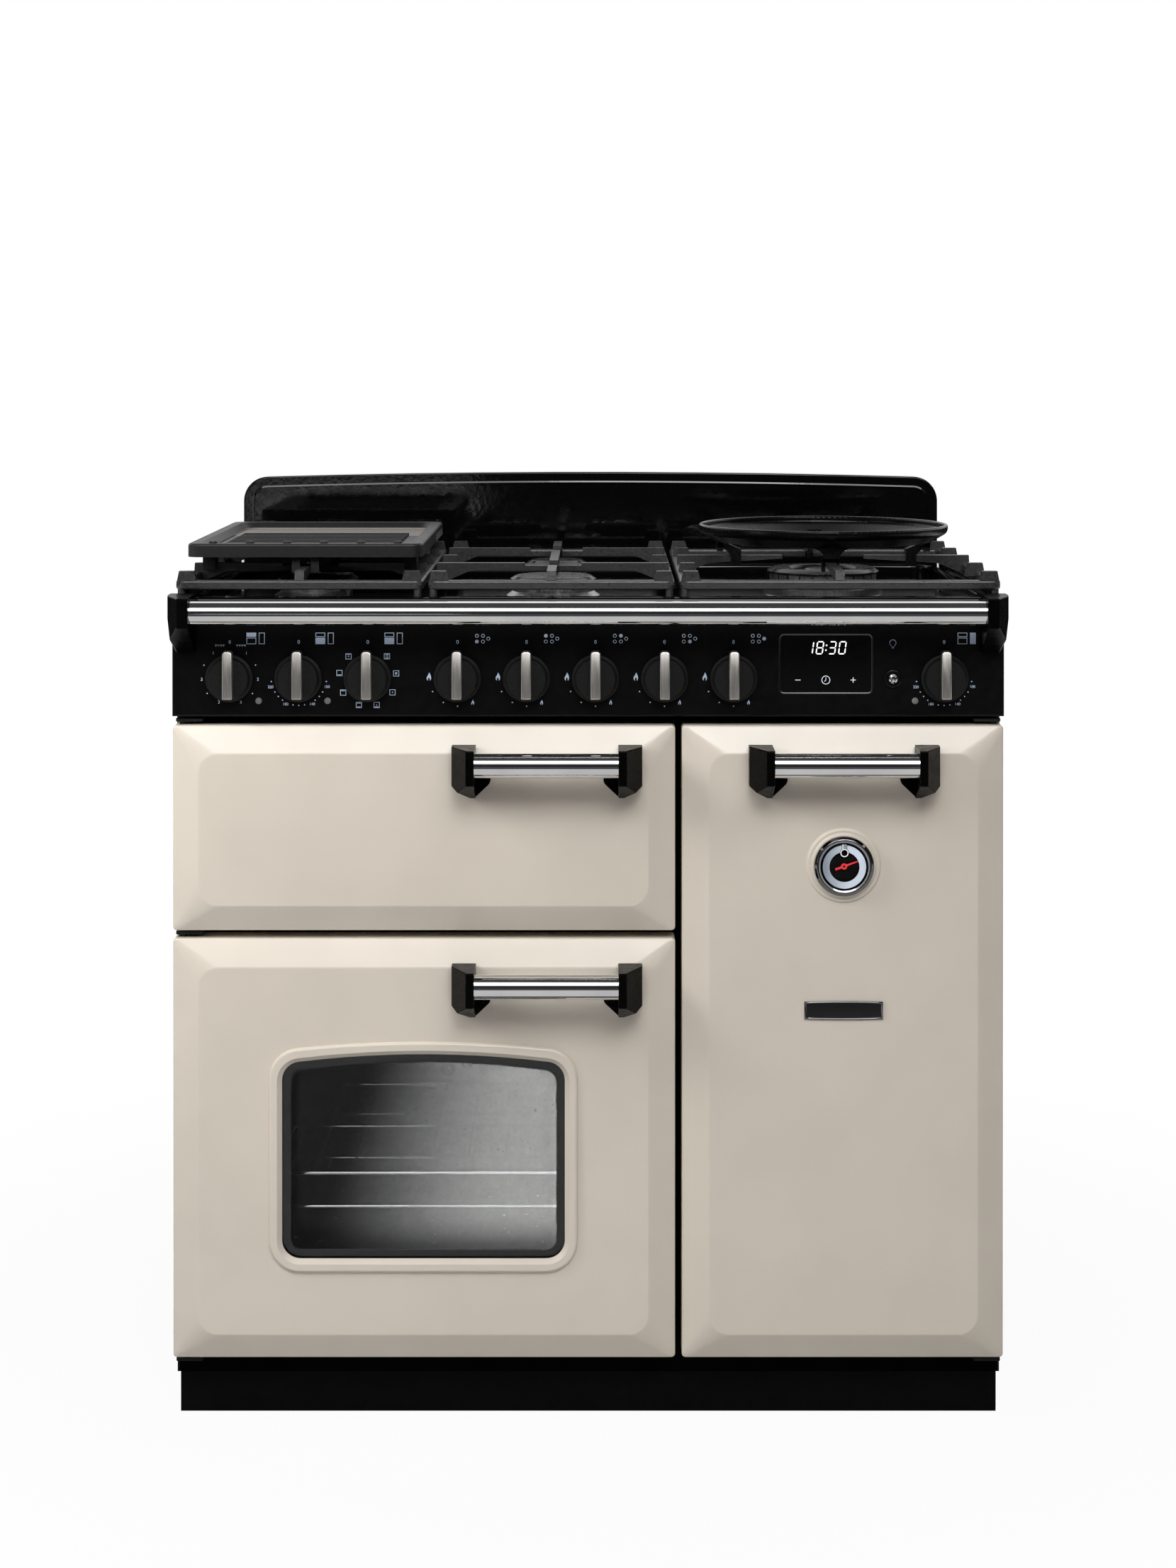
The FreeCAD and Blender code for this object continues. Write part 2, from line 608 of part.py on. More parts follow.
panel.soften(d.panel_round, lambda e: lies(e, y=y_edge)
             and (lies(e, z=z_panel) or lies(e, x=half) or lies(e, x=-half)))
panel.pocket("XZ", y_panel_back, y_frame, rect(
    -inner_half, inner_half, z_panel + d.panel_wall, z_tray - d.panel_wall))
y_ring = y_edge - d.button_rim
panel.pad("XZ", y_ring, y_edge, circle(d.button_x, d.button_height, d.button_ring))
panel.soften(1, lambda e: lies(e, y=y_ring))
panel.pocket("XZ", y_ring, y_panel_back,
             *[circle(x, d.knob_height, d.knob_hole) for x in knobs.values()],
             *[circle(x, z, d.lamp_radius + d.lamp_clearance) for x, z in lamps],
             circle(d.button_x, d.button_height, d.button_radius + d.seat_clearance),
             rect(d.clock_x - clock_half, d.clock_x + clock_half,
                  d.clock_height - clock_mid, d.clock_height + clock_mid, d.clock_round))
node("control_panel", panel)

# Clock window and indicator lamps

clock = Piece("clock")
slim = d.clock_clearance
clock.pad("XZ", y_edge + d.clock_sink, y_panel_back, rect(
    d.clock_x - clock_half + slim, d.clock_x + clock_half - slim,
    d.clock_height - clock_mid + slim, d.clock_height + clock_mid - slim, d.clock_round - slim))
lap = d.clock_lap
clock.pad("XZ", y_panel_back, y_panel_back + d.clock_body, rect(
    d.clock_x - clock_half - lap, d.clock_x + clock_half + lap,
    d.clock_height - clock_mid - lap, d.clock_height + clock_mid + lap))


def lamp(label, x, z):
    piece = Piece(label, at=(x, y_edge, z))
    r, flange = d.lamp_radius, d.lamp_radius + d.lamp_flange
    piece.turn("Y", polygon((0, -2), (r - 1.2, -1.6), (r, -0.6), (r, d.panel_wall), (flange, d.panel_wall),
                            (flange, d.lamp_body), (0, d.lamp_body)))
    return piece


node("clock_and_lamps", clock, *[lamp(f"lamp_{i}", x, z) for i, (x, z) in enumerate(lamps, 1)])

# Oven light button, which slides in its surround and into its switch

button = Piece("light_button", at=(d.button_x, y_edge, d.button_height))
r, stem, stem_end = d.button_radius, d.button_stem, d.button_stem_end
button.turn("Y", polygon((0, -6.2), (r * 0.55, -5.7), (r * 0.9, -4.6), (r, -3.2), (r, 4), (stem, 4),
                         (stem, stem_end), (0, stem_end)))
node("light_button", button)

# Rotary switches behind the panel, each with a bush against the panel and a bore for its spindle


def control_block(piece, reach, half_w, low, high, bore):
    """A bush against the back of the panel, a block behind it and a bore for the spindle."""
    piece.pad("XZ", d.bush_reach, reach, rect(-half_w, half_w, low, high))
    piece.pad("XZ", d.panel_wall, d.bush_reach, circle(0, 0, d.bush_radius))
    piece.pocket("XZ", d.panel_wall, reach - d.block_end, circle(0, 0, bore))


def switch(label, x):
    piece = Piece(label, at=(x, y_edge, d.knob_height))
    control_block(piece, d.switch_reach, 21, -19, 22, d.knob_shaft + d.running_clearance)
    return piece


light_switch = Piece("light_switch", at=(d.button_x, y_edge, d.button_height))
light_switch.pad("XZ", d.panel_wall, 34, rect(-9, 9, -9, 9))
light_switch.pocket("XZ", d.panel_wall, 9, circle(0, 0, d.button_radius + 0.8))
light_switch.pocket("XZ", 9, 28, circle(0, 0, d.button_stem + d.running_clearance))
electric = [name for name in knobs if "burner" not in name]
node("oven_switches", *[switch(f"{name}_switch", knobs[name]) for name in electric], light_switch)

# Gas rail with five taps, the supply pipe to the rear inlet, and a feed pipe to each burner

gas = [name for name in knobs if "burner" in name]
y_tap_back = y_edge + d.tap_reach


def tap(label, x):
    piece = Piece(label, at=(x, y_edge, d.knob_height))
    control_block(piece, d.tap_reach, 13, -26, 18, d.spindle_radius + d.running_clearance)
    return piece


def bent_pipe(label, spots, radius, bend):
    """A round pipe along straight runs with bends between them."""
    pipe = doc.addObject("Part::Feature", label)
    spots = [Vector(*[num(v) for v in spot]) for spot in spots]
    edges = []
    begin = spots[0]
    for before, corner, after in zip(spots, spots[1:], spots[2:]):
        into, out = (corner - before).normalize(), (after - corner).normalize()
        first, last = corner - into * bend, corner + out * bend
        middle = corner + (out - into) * (bend * (1 - math.sqrt(0.5)))
        edges.append(Part.LineSegment(begin, first).toShape())
        edges.append(Part.Arc(first, middle, last).toShape())
        begin = last
    edges.append(Part.LineSegment(begin, spots[-1]).toShape())
    start = (spots[1] - spots[0]).normalize()
    profile = Part.Wire([Part.Circle(spots[0], start, radius).toShape()])
    pipe.Shape = Part.Wire(edges).makePipeShell([profile], True, False)
    return pipe


taps = [tap(f"{name[:-5]}_tap", knobs[name]) for name in gas]
rail_z, rail_y = inlet_z, y_edge + d.rail_setback
rail_start = d.burner_knobs_x - d.rail_start
y_mouth = y_back - d.inlet_inset
rail_tube = cylinder("rail_tube", d.rail_radius, inlet_x - rail_start + d.rail_end,
                     (rail_start, rail_y, rail_z), "x")
supply = cylinder("supply_pipe", d.supply_radius, y_mouth - rail_y, (inlet_x, rail_y, rail_z), "y")
inlet = cylinder("inlet_socket", d.inlet_radius, d.inlet_length,
                 (inlet_x, y_mouth - d.inlet_length, rail_z), "y")
socket_bore = cylinder("inlet_bore", d.inlet_bore, d.thread_length,
                       (inlet_x, y_mouth - d.thread_length, rail_z), "y")
rail_solid = fuse("rail_solid", [rail_tube, supply, inlet] + [t.body for t in taps])
manifold = cut("manifold", rail_solid, socket_bore)
z_stub = z_tray - d.burner_stub
feeds = []
for name in gas:
    x, y, _ = burners[name.replace("_burner_knob", "")]
    z = d.knob_height + (-d.feed_offset if name.startswith("front_centre") else d.feed_offset)
    feeds.append(bent_pipe(f"{name[:-5]}_feed", [
        (knobs[name], y_tap_back, z), (knobs[name], y, z), (x, y, z), (x, y, z_stub)],
        num(d.feed_radius), num(d.feed_bend)))
node("gas_rail", manifold, *feeds)

# Knobs: a round body with a skirt and a raised pointer bar

y_face = -d.knob_standoff - d.knob_depth


def knob(label, x):
    """A round body with a skirt, and a pointer bar that stands on its face."""
    at = (x, y_edge, d.knob_height)
    body = Piece(f"{label}_body", at)
    r, skirt = d.knob_radius, d.knob_skirt
    back, face = -d.knob_standoff, y_face
    body.turn("Y", polygon((0, back), (skirt, back), (skirt, back - 2.5), (r + 1, back - 4.5, 2),
                           (r, face + 1), (r - 1, face), (0, face)))
    if label in gas:
        body.pocket("XZ", face + 4, back, circle(0, 0, d.spindle_radius + d.running_clearance))
    else:
        body.pad("XZ", back, d.shaft_reach, circle(0, 0, d.knob_shaft))
    bar = Piece(f"{label}_pointer", at)
    w = d.pointer_width / 2
    bar.pad("XZ", face - d.pointer_depth, face, polygon(
        (-w, -d.pointer_down, 1.5), (w, -d.pointer_down, 1.5), (w, d.pointer_up, 4), (-w, d.pointer_up, 4)))
    bar.soften(d.pointer_soften, lambda e: lies(e, y=face - d.pointer_depth))
    return node(label, body, bar)


for name in knobs:
    knob(name, knobs[name])
for name in gas:
    spindle = Piece(f"{name[:-5]}_spindle", (knobs[name], y_edge, d.knob_height))
    tip, end = y_face + d.spindle_tip, d.spindle_reach
    spindle.turn("Y", polygon((0, tip), (d.spindle_radius - 0.5, tip), (d.spindle_radius, tip + 0.5),
                              (d.spindle_radius, end), (0, end)))
    node(f"{name[:-5]}_spindle", spindle)

# Handrail in front of the hob

rail_half = d.overall_width / 2 - d.rail_bracket
rail = cylinder("handrail_bar", d.rail_bar / 2, 2 * rail_half,
                (-rail_half, y_edge - d.rail_reach, d.rail_height), "x")
node("handrail_bar", rail)


def rail_end(label, sign):
    piece = Piece(label, at=(sign * rail_half, y_edge, d.rail_height))
    w, reach = d.rail_bracket, d.rail_reach + d.rail_bar / 2 + 2
    low, past, chin = -d.rail_end_down, -d.rail_end_down - 14, -d.rail_end_chin
    piece.pad("XY", low, d.rail_end_up, polygon(
        (0, 0), (sign * w, 0), (sign * w, -d.rail_end_side), (sign * d.rail_end_nose, -reach), (0, -reach)))
    piece.pocket("YZ", -w, w, polygon(
        (0, low), (-d.rail_end_foot, low), (-reach, chin), (-reach - 5, chin), (-reach - 5, past), (0, past)))
    slim, shoulder = w - d.rail_end_taper, -d.rail_end_shoulder
    piece.pocket("XZ", -reach, 0, polygon(
        (sign * (w + 1), past), (sign * (w + 1), shoulder), (sign * w, shoulder), (sign * slim, low),
        (sign * slim, past)))
    piece.soften(d.rail_end_soften, lambda e: e.BoundBox.YMax < -1 and e.Length > 6
                 and abs(e.BoundBox.XMax) + abs(e.BoundBox.XMin) > 1)
    return piece


node("handrail_brackets", rail_end("left_rail_end", -1), rail_end("right_rail_end", 1))

# Doors. Each is built about its own middle, with y = 0 at the plane of its edges

door_middle = {
    "grill_door": (x_left + d.left_door_width / 2, z_grill_base + d.grill_door_height / 2),
    "main_door": (x_left + d.left_door_width / 2, d.door_base + d.main_door_height / 2),
    "tall_door": (x_tall + tall_width / 2, d.door_base + tall_height / 2),
}
door_size = {
    "grill_door": (d.left_door_width, d.grill_door_height),
    "main_door": (d.left_door_width, d.main_door_height),
    "tall_door": (tall_width, tall_height),
}
hinge_side = {"grill_door": -1, "main_door": -1, "tall_door": 1}
window_half = d.window_width / 2


def door_at(name):
    x, z = door_middle[name]
    return (x, y_edge, z)


def door_skin(name):
    piece = Piece(f"{name}_skin", door_at(name))
    w, h = door_size[name][0] / 2, door_size[name][1] / 2
    wall, bevel, field = d.door_wall, d.door_bevel, d.door_field
    piece.pad("XZ", 0, d.door_depth, rect(-w, w, -h, h, d.edge_round))
    piece.loft("AdditiveLoft", (0, rect(-w, w, -h, h, d.edge_round)),
               (-field, rect(bevel - w, w - bevel, bevel - h, h - bevel, d.field_round)))
    piece.soften(d.field_soften, lambda e: lies(e, y=-field))
    piece.soften(d.edge_soften, lambda e: lies(e, y=0))
    piece.pocket("XZ", 0, d.door_depth, rect(wall - w, w - wall, wall - h, h - wall, d.edge_round - 1))
    edge = bevel + wall
    piece.loft("SubtractiveLoft", (0, rect(wall - w, w - wall, wall - h, h - wall, d.edge_round - 1)),
               (wall - field, rect(edge - w, w - edge, edge - h, h - edge, d.field_round - 2)))
    axis = hinge_side[name] * (w - d.hinge_inset)
    piece.pocket("XY", -h, h, circle(axis, d.hinge_depth, d.hinge_pin + d.hinge_room))
    return piece


def window_bead(piece):
    """Press a rounded surround, cut the window and slope the surround down to it."""
    field = d.door_field
    grow = d.bead_width
    piece.pad("XZ", -field - d.bead_rise, -field, arched(
        window_half + grow, d.window_low - grow, d.window_high + grow, d.window_rise))
    top = -field - d.bead_rise
    piece.soften(d.window_round + grow, lambda e: runs(e, "y") and lies(e, x=e.BoundBox.XMin)
                 and near(abs(e.BoundBox.XMin), window_half + grow) and near(e.BoundBox.YMin, top))
    piece.soften(d.bead_soften, lambda e: lies(e, y=top))
    piece.pocket("XZ", top, d.door_wall - field, arched(
        window_half, d.window_low, d.window_high, d.window_rise))
    piece.soften(d.window_round, lambda e: runs(e, "y") and near(abs(e.BoundBox.XMin), window_half)
                 and near(e.BoundBox.YMin, top))
    piece.soften(d.bead_slope, lambda e: lies(e, y=top) and abs(e.BoundBox.Center.x) < num(window_half) + 1
                 and num(d.window_low) - 1 < e.BoundBox.Center.z < num(d.window_high + d.window_rise) + 1,
                 "Chamfer")


skins = {name: door_skin(name) for name in door_middle}
window_bead(skins["main_door"])
thermo_z = d.thermo_height
tall_skin = skins["tall_door"]
y_ring = -d.door_field - d.thermo_step
tall_skin.pad("XZ", y_ring, -d.door_field, circle(0, thermo_z, d.thermo_ring))
tall_skin.soften(d.thermo_soften, lambda e: lies(e, y=y_ring))
tall_skin.pocket("XZ", y_ring, d.door_wall - d.door_field,
                 circle(0, thermo_z, d.thermo_radius - d.thermo_lip))
for name, piece in skins.items():
    node(f"{name}_skin", piece)


def door_liner(name):
    """The inner panel, with a pressed field and the blocks that run on the hinge pins."""
    piece = Piece(f"{name}_liner", door_at(name))
    w, h = door_size[name][0] / 2 - d.door_wall, door_size[name][1] / 2 - d.door_wall
    back = d.door_depth
    piece.pad("XZ", back - d.door_wall, back, rect(-w, w, -h, h, d.edge_round - 1))
    edge, level = d.left_margin + d.liner_lap, h - d.liner_field
    piece.pad("XZ", back, back + d.liner_press, rect(edge - w, w - edge, -level, level, d.liner_round))
    axis = hinge_side[name] * (w + d.door_wall - d.hinge_inset)
    low, high, tall = axis - d.block_half, axis + d.block_half, d.block_tall
    piece.pad("XZ", d.hinge_depth - d.block_front, back - d.door_wall,
              *[rect(low, high, *span, d.edge_round) for span in ((-h, tall - h), (h - tall, h))])
    bore = circle(axis, d.hinge_depth, d.hinge_pin + d.running_clearance)
    piece.pocket("XY", -h, d.pin_depth - h, bore)
    piece.pocket("XY", h - d.pin_depth, h, bore)
    if name == "main_door":
        lap = d.liner_window_lap
        piece.pocket("XZ", back - d.door_wall, back + d.liner_press, rect(
            -window_half - lap, window_half + lap, d.window_low - lap, d.window_high + d.window_rise + lap,
            d.liner_window_round))
    return node(f"{name}_liner", piece)


for name in door_middle:
    door_liner(name)
lap = d.pane_lap
glass_span = (-window_half - lap, window_half + lap, d.window_low - lap, d.window_high + d.window_rise + lap)
outer_pane, inner_pane = [Piece(label, door_at("main_door")) for label in ("outer_pane", "inner_pane")]
outer_pane.pad("XZ", d.door_wall - d.door_field, d.door_wall - d.door_field + d.pane,
               rect(*glass_span, d.pane_round))
inner_pane.pad("XZ", d.door_depth - d.door_wall - d.pane, d.door_depth - d.door_wall,
               rect(*glass_span, d.pane_round))
node("main_door_glass", outer_pane, inner_pane)

# Door handles

y_bar = y_edge - d.handle_reach + d.handle_bar / 2
handle_middle = {
    "grill_door": (x_left_end - d.handle_edge - d.handle_length / 2, z_door_top - d.handle_drop),
    "main_door": (x_left_end - d.handle_edge - d.handle_length / 2, z_main_top - d.main_handle_drop),
    "tall_door": (x_tall + tall_width / 2, z_door_top - d.handle_drop),
}


def handle_end(label, sign, x, z):
    """A pointed block that holds the bar, with an ear beside it for the screw."""
    piece = Piece(label, at=(x, y_field, z))
    w, up, down = d.bracket_width, d.bracket_up, d.bracket_down
    reach = d.handle_reach - d.door_field - 1
    corner, point, chin, past = d.bracket_corner, d.bracket_point, d.bracket_chin, down + 2
    piece.pad("XY", -down, up, polygon(
        (0, 0), (sign * w, 0), (sign * w, -d.bracket_side), (sign * d.bracket_nose, -reach), (0, -reach)))
    piece.pocket("XZ", -reach, 0, polygon(
        (sign * w, -corner), (sign * (w + 2), -corner), (sign * (w + 2), -past), (sign * point, -past),
        (sign * point, -down)))
    piece.pocket("YZ", -w, w, polygon(
        (-reach - 2, -chin), (-reach, -chin), (-d.bracket_foot, -down), (-d.bracket_foot, -past),
        (-reach - 2, -past)))
    piece.soften(d.bracket_soften, lambda e: e.BoundBox.YMax < -1 and e.Length > 5)
    ear = d.ear_reach
    piece.pad("XZ", -d.ear_thick, 0, polygon(
        (sign * d.ear_root, -d.ear_top), (-sign * ear, -d.ear_top), (-sign * ear, -d.ear_low, d.ear_round),
        (0, 1 - down), (sign * d.ear_root, 1 - down)))
    piece.pocket("XZ", -d.ear_thick, -d.ear_thick / 2,
                 circle(-sign * d.screw_in, -d.screw_drop, d.screw_recess))
    return piece


for name, (x, z) in handle_middle.items():
    reach = d.handle_length / 2 - d.bracket_width
    bar = cylinder(f"{name}_bar", d.handle_bar / 2, 2 * reach, (x - reach, y_bar, z), "x")
    node(f"{name}_handle_bar", bar)
    node(f"{name}_handle_brackets", handle_end(f"{name}_left_end", -1, x - reach, z),
         handle_end(f"{name}_right_end", 1, x + reach, z))

# Thermometer in the tall door, and its needle

thermo_at = (door_middle["tall_door"][0], y_field - d.thermo_step, door_middle["tall_door"][1] + thermo_z)
thermo = Piece("thermometer", thermo_at)
r = d.thermo_radius
thermo.turn("Y", polygon((0, -3.5), (r - 7.5, -3.5), (r - 6.5, -8), (r - 3.5, -9.5, 2), (r, -6, 2), (r, 0),
                         (r - 6.3, 0), (r - 6.3, 20), (0, 20)))
thermo.pad("XZ", -6, -3.5, circle(0, 0, d.needle_pin))
node("thermometer", thermo)
needle = Piece("thermometer_needle", thermo_at)
tail, tip, y_needle = -d.needle_tail, r - d.needle_tail, -4.2
needle.pad("XZ", y_needle - d.needle_thick, y_needle,
           polygon((-1.2, tail), (1.2, tail), (0.5, tip), (-0.5, tip)))
needle.pad("XZ", y_needle - 1.4, y_needle, circle(0, 0, d.needle_hub))
needle.pocket("XZ", y_needle - 1.4, y_needle, circle(0, 0, d.needle_pin + d.running_clearance))
needle.body.Placement = FreeCAD.Placement(Vector(), FreeCAD.Rotation(Vector(0, 1, 0), 70))
node("thermometer_needle", needle)

# Hinge brackets fixed to the front frame, with the pins the doors turn on


def hinge(label, x, z, up, down):
    piece = Piece(label, at=(x, y_edge, z))
    edge, leaf = d.hinge_depth - d.hinge_pin - 3, d.hinge_leaf / 2
    sides = (-d.leaf_out, d.leaf_in) if num(x) < 0 else (-d.leaf_in, d.leaf_out)
    piece.pad("XY", -leaf, leaf, rect(*sides, edge, y_frame - y_edge, d.leaf_round))
    if up is not None:
        piece.pad("XY", leaf, up, circle(0, d.hinge_depth, d.hinge_pin))
    if down is not None:
        piece.pad("XY", -Size.of(down), -leaf, circle(0, d.hinge_depth, d.hinge_pin))
    return piece


x_pin, x_pin_right = x_left + d.hinge_inset, x_right - d.hinge_inset
z_low, z_mid, z_high = d.door_base - d.leaf_drop, z_main_top + d.door_gap / 2, z_door_top + d.panel_gap / 2
deep = d.door_gap / 2 + d.door_wall + d.pin_reach
low_pin, high_pin = d.door_wall + d.low_pin_reach, d.panel_gap / 2 + d.door_wall + d.pin_reach
node("hinge_brackets",
     hinge("left_low_hinge", x_pin, z_low, low_pin, None),
     hinge("left_mid_hinge", x_pin, z_mid, deep, deep),
     hinge("left_high_hinge", x_pin, z_high, None, high_pin),
     hinge("right_low_hinge", x_pin_right, z_low, low_pin, None),
     hinge("right_high_hinge", x_pin_right, z_high, None, high_pin))

# Oven linings. The two ovens have a fan chamber behind a pierced rear wall


def cavity(name):
    x0, x1, z0, z1 = cavities[name]
    wall, lap = d.panel_wall, d.cavity_flange
    piece = Piece(f"{name}_cavity")
    piece.pad("XZ", y_inside, y_cavity_back + wall, rect(
        x0 - wall, x1 + wall, z0 - wall, z1 + wall, d.cavity_round + wall))
    piece.pad("XZ", y_inside, y_inside + wall, rect(
        x0 - lap, x1 + lap, z0 - lap, z1 + lap, d.cavity_round + d.flange_round))
    piece.pocket("XZ", y_inside, y_cavity_back, rect(x0, x1, z0, z1, d.cavity_round))
    return piece


fan_place = {}
y_chamber = y_cavity_back + d.panel_wall
for name in ("main_oven", "tall_oven"):
    x0, x1, z0, z1 = cavities[name]
    x, z = (x0 + x1) / 2, (z0 + z1) / 2
    fan_place[name] = (x, z)
    reach = d.fan_radius + d.chamber_gap
    inner = reach - d.panel_wall
    piece = cavity(name)
    piece.pad("XZ", y_chamber, y_chamber + d.plenum_depth, rect(
        x - reach, x + reach, z - reach, z + reach, d.chamber_round))
    piece.pocket("XZ", y_chamber, y_chamber + d.plenum_depth - d.panel_wall, rect(
        x - inner, x + inner, z - inner, z + inner, d.chamber_round - d.panel_wall))
    y_rear = y_chamber + d.plenum_depth
    piece.pocket("XZ", y_rear - d.panel_wall, y_rear, circle(x, z, d.shaft_hole))
    ring = d.suction_ring
    holes = [circle(x + ring * math.cos(a), z + ring * math.sin(a), d.suction_hole) for a in
             (math.radians(45 * i) for i in range(8))]
    slot_reach, wide, tall = reach - d.side_slot_edge, d.side_slot / 2, d.side_slot_tall / 2
    slot_spots = [(x + sign * slot_reach, z + k * d.side_slot_pitch) for sign in (-1, 1)
                  for k in (-2, -1, 0, 1, 2)]
    side_slots = [rect(sx - wide, sx + wide, sz - tall, sz + tall) for sx, sz in slot_spots]
    piece.pocket("XZ", y_cavity_back, y_chamber, circle(x, z, d.suction_middle), *holes, *side_slots)
    node(f"{name}_cavity", piece)

grill_box = cavity("grill")
x0, x1, z0, z1 = cavities["grill"]
z_runner = z0 + d.runner_height
for low, high in ((x0, x0 + d.runner_width), (x1 - d.runner_width, x1)):
    grill_box.pad("XZ", y_inside + d.runner_front, y_cavity_back - d.runner_rear,
                  rect(low, high, z_runner - d.runner_thick, z_runner))
node("grill_cavity", grill_box)

# Fans on their motor shafts


def fan(name):
    x, z = fan_place[name]
    piece = Piece(f"{name}_fan", at=(x, y_chamber + d.fan_setback, z))
    r, hub, bore = d.fan_radius, d.fan_hub, d.fan_shaft + d.running_clearance
    piece.turn("Y", polygon((bore, 4), (hub, 4), (hub, 16), (r, 16), (r, 18), (bore, 18)))
    blade = piece.pad("XZ", 2, 16, polygon((r * 0.55, -1), (r - 2, 7), (r - 2, 9), (r * 0.55, 1)))
    piece.around("Y", [blade], 12)
    return node(f"{name}_fan", piece)


def motor(name):
    x, z = fan_place[name]
    piece = Piece(f"{name}_motor", at=(x, y_chamber, z))
    rear, shaft, r, deep = d.plenum_depth, d.fan_shaft, d.motor_radius, d.motor_depth
    piece.turn("Y", polygon((0, 10), (shaft, 10), (shaft, rear), (r, rear), (r, rear + deep, 5),
                            (12, rear + deep + 12), (0, rear + deep + 12)))
    return piece


for name in fan_place:
    fan(name)
node("fan_motors", *[motor(name) for name in fan_place])

# Heating elements: a grill loop under the roof and a ring round each fan


def ring_element(name):
    x, z = fan_place[name]
    middle = y_chamber + 20
    torus = doc.addObject("Part::Torus", f"{name}_ring")
    bind(torus, "Radius1", d.fan_radius + d.element_gap)
    bind(torus, "Radius2", d.element_wire)
    torus.Placement = FreeCAD.Placement(Vector(), FreeCAD.Rotation(Vector(1, 0, 0), 90))
    place(torus, (x, middle, z))
    length = y_chamber + d.plenum_depth - d.panel_wall - middle
    level = z + (d.fan_radius + d.tail_level)
    tails = [cylinder(f"{name}_tail_{i}", d.element_wire, length,
                      (x + side * d.element_tail, middle, level), "y")
             for i, side in enumerate((-1, 1))]
    return fuse(f"{name}_element", [torus] + tails)


x0, x1, z0, z1 = cavities["grill"]
z_loop = z1 - d.grill_drop
y_loop = [y_cavity_back, y_inside + d.grill_front]
y_turn = y_loop[0] - d.grill_rear
columns = [x0 + d.grill_side + (x1 - x0 - 2 * d.grill_side) * i / 5 for i in range(6)]
spots = [(columns[0], y_loop[0], z_loop)]
for i, x in enumerate(columns):
    near_end = y_loop[1] if i % 2 == 0 else y_turn
    spots.append((x, near_end, z_loop))
    if i < 5:
        spots.append((columns[i + 1], near_end, z_loop))
spots[-1] = (columns[5], y_loop[0], z_loop)
grill_loop = bent_pipe("grill_loop", spots, num(d.grill_wire), num(d.grill_bend))
node("heating_elements", grill_loop, *[ring_element(name) for name in fan_place])

# Grill pan on the runners, with its wire trivet


def wire_grid(label, x0, x1, y0, y1, z, count, thick, fine, bars=2):
    """Cross wires from front to back, held by bars and two side wires."""
    piece = Piece(label)
    step = (x1 - x0) / (count + 1)
    piece.pad("XZ", y0, y1, *[circle(x0 + step * (i + 1), z, fine) for i in range(count)])
    gap = (y1 - y0) / (bars - 1)
    piece.pad("YZ", x0 - 4, x1 + 4, *[circle(y0 + gap * i, z, thick) for i in range(bars)])
    piece.pad("XZ", y0 - 5, y1 + 5, circle(x0, z, thick - 0.3), circle(x1, z, thick - 0.3))
    return piece


pan = Piece("grill_tray")
wall, rim, side, wires = d.panel_wall, d.tray_rim_side, d.tray_side, d.trivet_side
py0 = y_inside + d.tray_front
py1 = py0 + d.tray_depth
z_pan = z_runner - d.tray_tall + wall
pan.pad("XY", z_pan - wall, z_runner, rect(x0 + side, x1 - side, py0 + 8, py1 - 8, 16))
pan.pad("XY", z_runner, z_runner + wall, rect(x0 + rim, x1 - rim, py0, py1, 12))
pan.pocket("XY", z_pan, z_runner + wall, rect(x0 + side + wall, x1 - side - wall, py0 + 10, py1 - 10, 14))
trivet = wire_grid("trivet", x0 + wires, x1 - wires, py0 + 16, py1 - 16, z_pan + d.shelf_wire, 12,
                   d.shelf_wire, d.cross_wire)
node("grill_pan", pan, trivet)

# Oven shelves on side ladders


def ladder(label, wall_x, sign, levels, z0, z1):
    piece = Piece(label)
    r = d.ladder_wire
    y0, y1 = y_inside + d.ladder_ends, y_cavity_back - d.ladder_ends
    posts = (y0 + d.ladder_post, y1 - d.ladder_post)
    post, rung = wall_x + sign * d.post_stand, wall_x + sign * d.rung_stand
    low, high = (wall_x, post) if sign > 0 else (post, wall_x)
    piece.pad("XY", z0, z1, *[circle(post, y, r) for y in posts])
    piece.pad("XZ", y0, y1, *[circle(rung, z, r) for z in levels])
    piece.pad("YZ", low, high, *[circle(y, z, r) for y in posts for z in (z0 + 8, z1 - 8)])
    return piece


def rack(name, count, used):
    x0, x1, z0, z1 = cavities[name]
    low, high = z0 + d.rack_low, z1 - d.rack_high
    step = (high - low) / (count - 1)
    levels = [low + step * i for i in range(count)]
    ladders = [ladder(f"{name}_{side}_ladder", wall, sign, levels, low - d.rack_ends, high + d.rack_ends)
               for side, wall, sign in (("left", x0, 1), ("right", x1, -1))]
    lift = d.ladder_wire + d.shelf_wire + d.shelf_lift
    left, right = x0 + d.shelf_inset, x1 - d.shelf_inset
    front, rear = y_inside + d.shelf_front, y_cavity_back - d.shelf_rear
    wires = 9 if name == "main_oven" else 6
    shelves = [wire_grid(f"{name}_shelf_{i}", left, right, front, rear, levels[i] + lift,
                         wires, d.shelf_wire, d.cross_wire, 3) for i in used]
    return ladders, shelves


main_ladders, main_shelves = rack("main_oven", 8, (1, 2))
tall_ladders, tall_shelves = rack("tall_oven", 7, (1, 3, 5))
node("shelf_ladders", *main_ladders, *tall_ladders)
node("oven_shelves", *main_shelves, *tall_shelves)

# Burners: an aluminium body with flame ports, and an enamelled cap


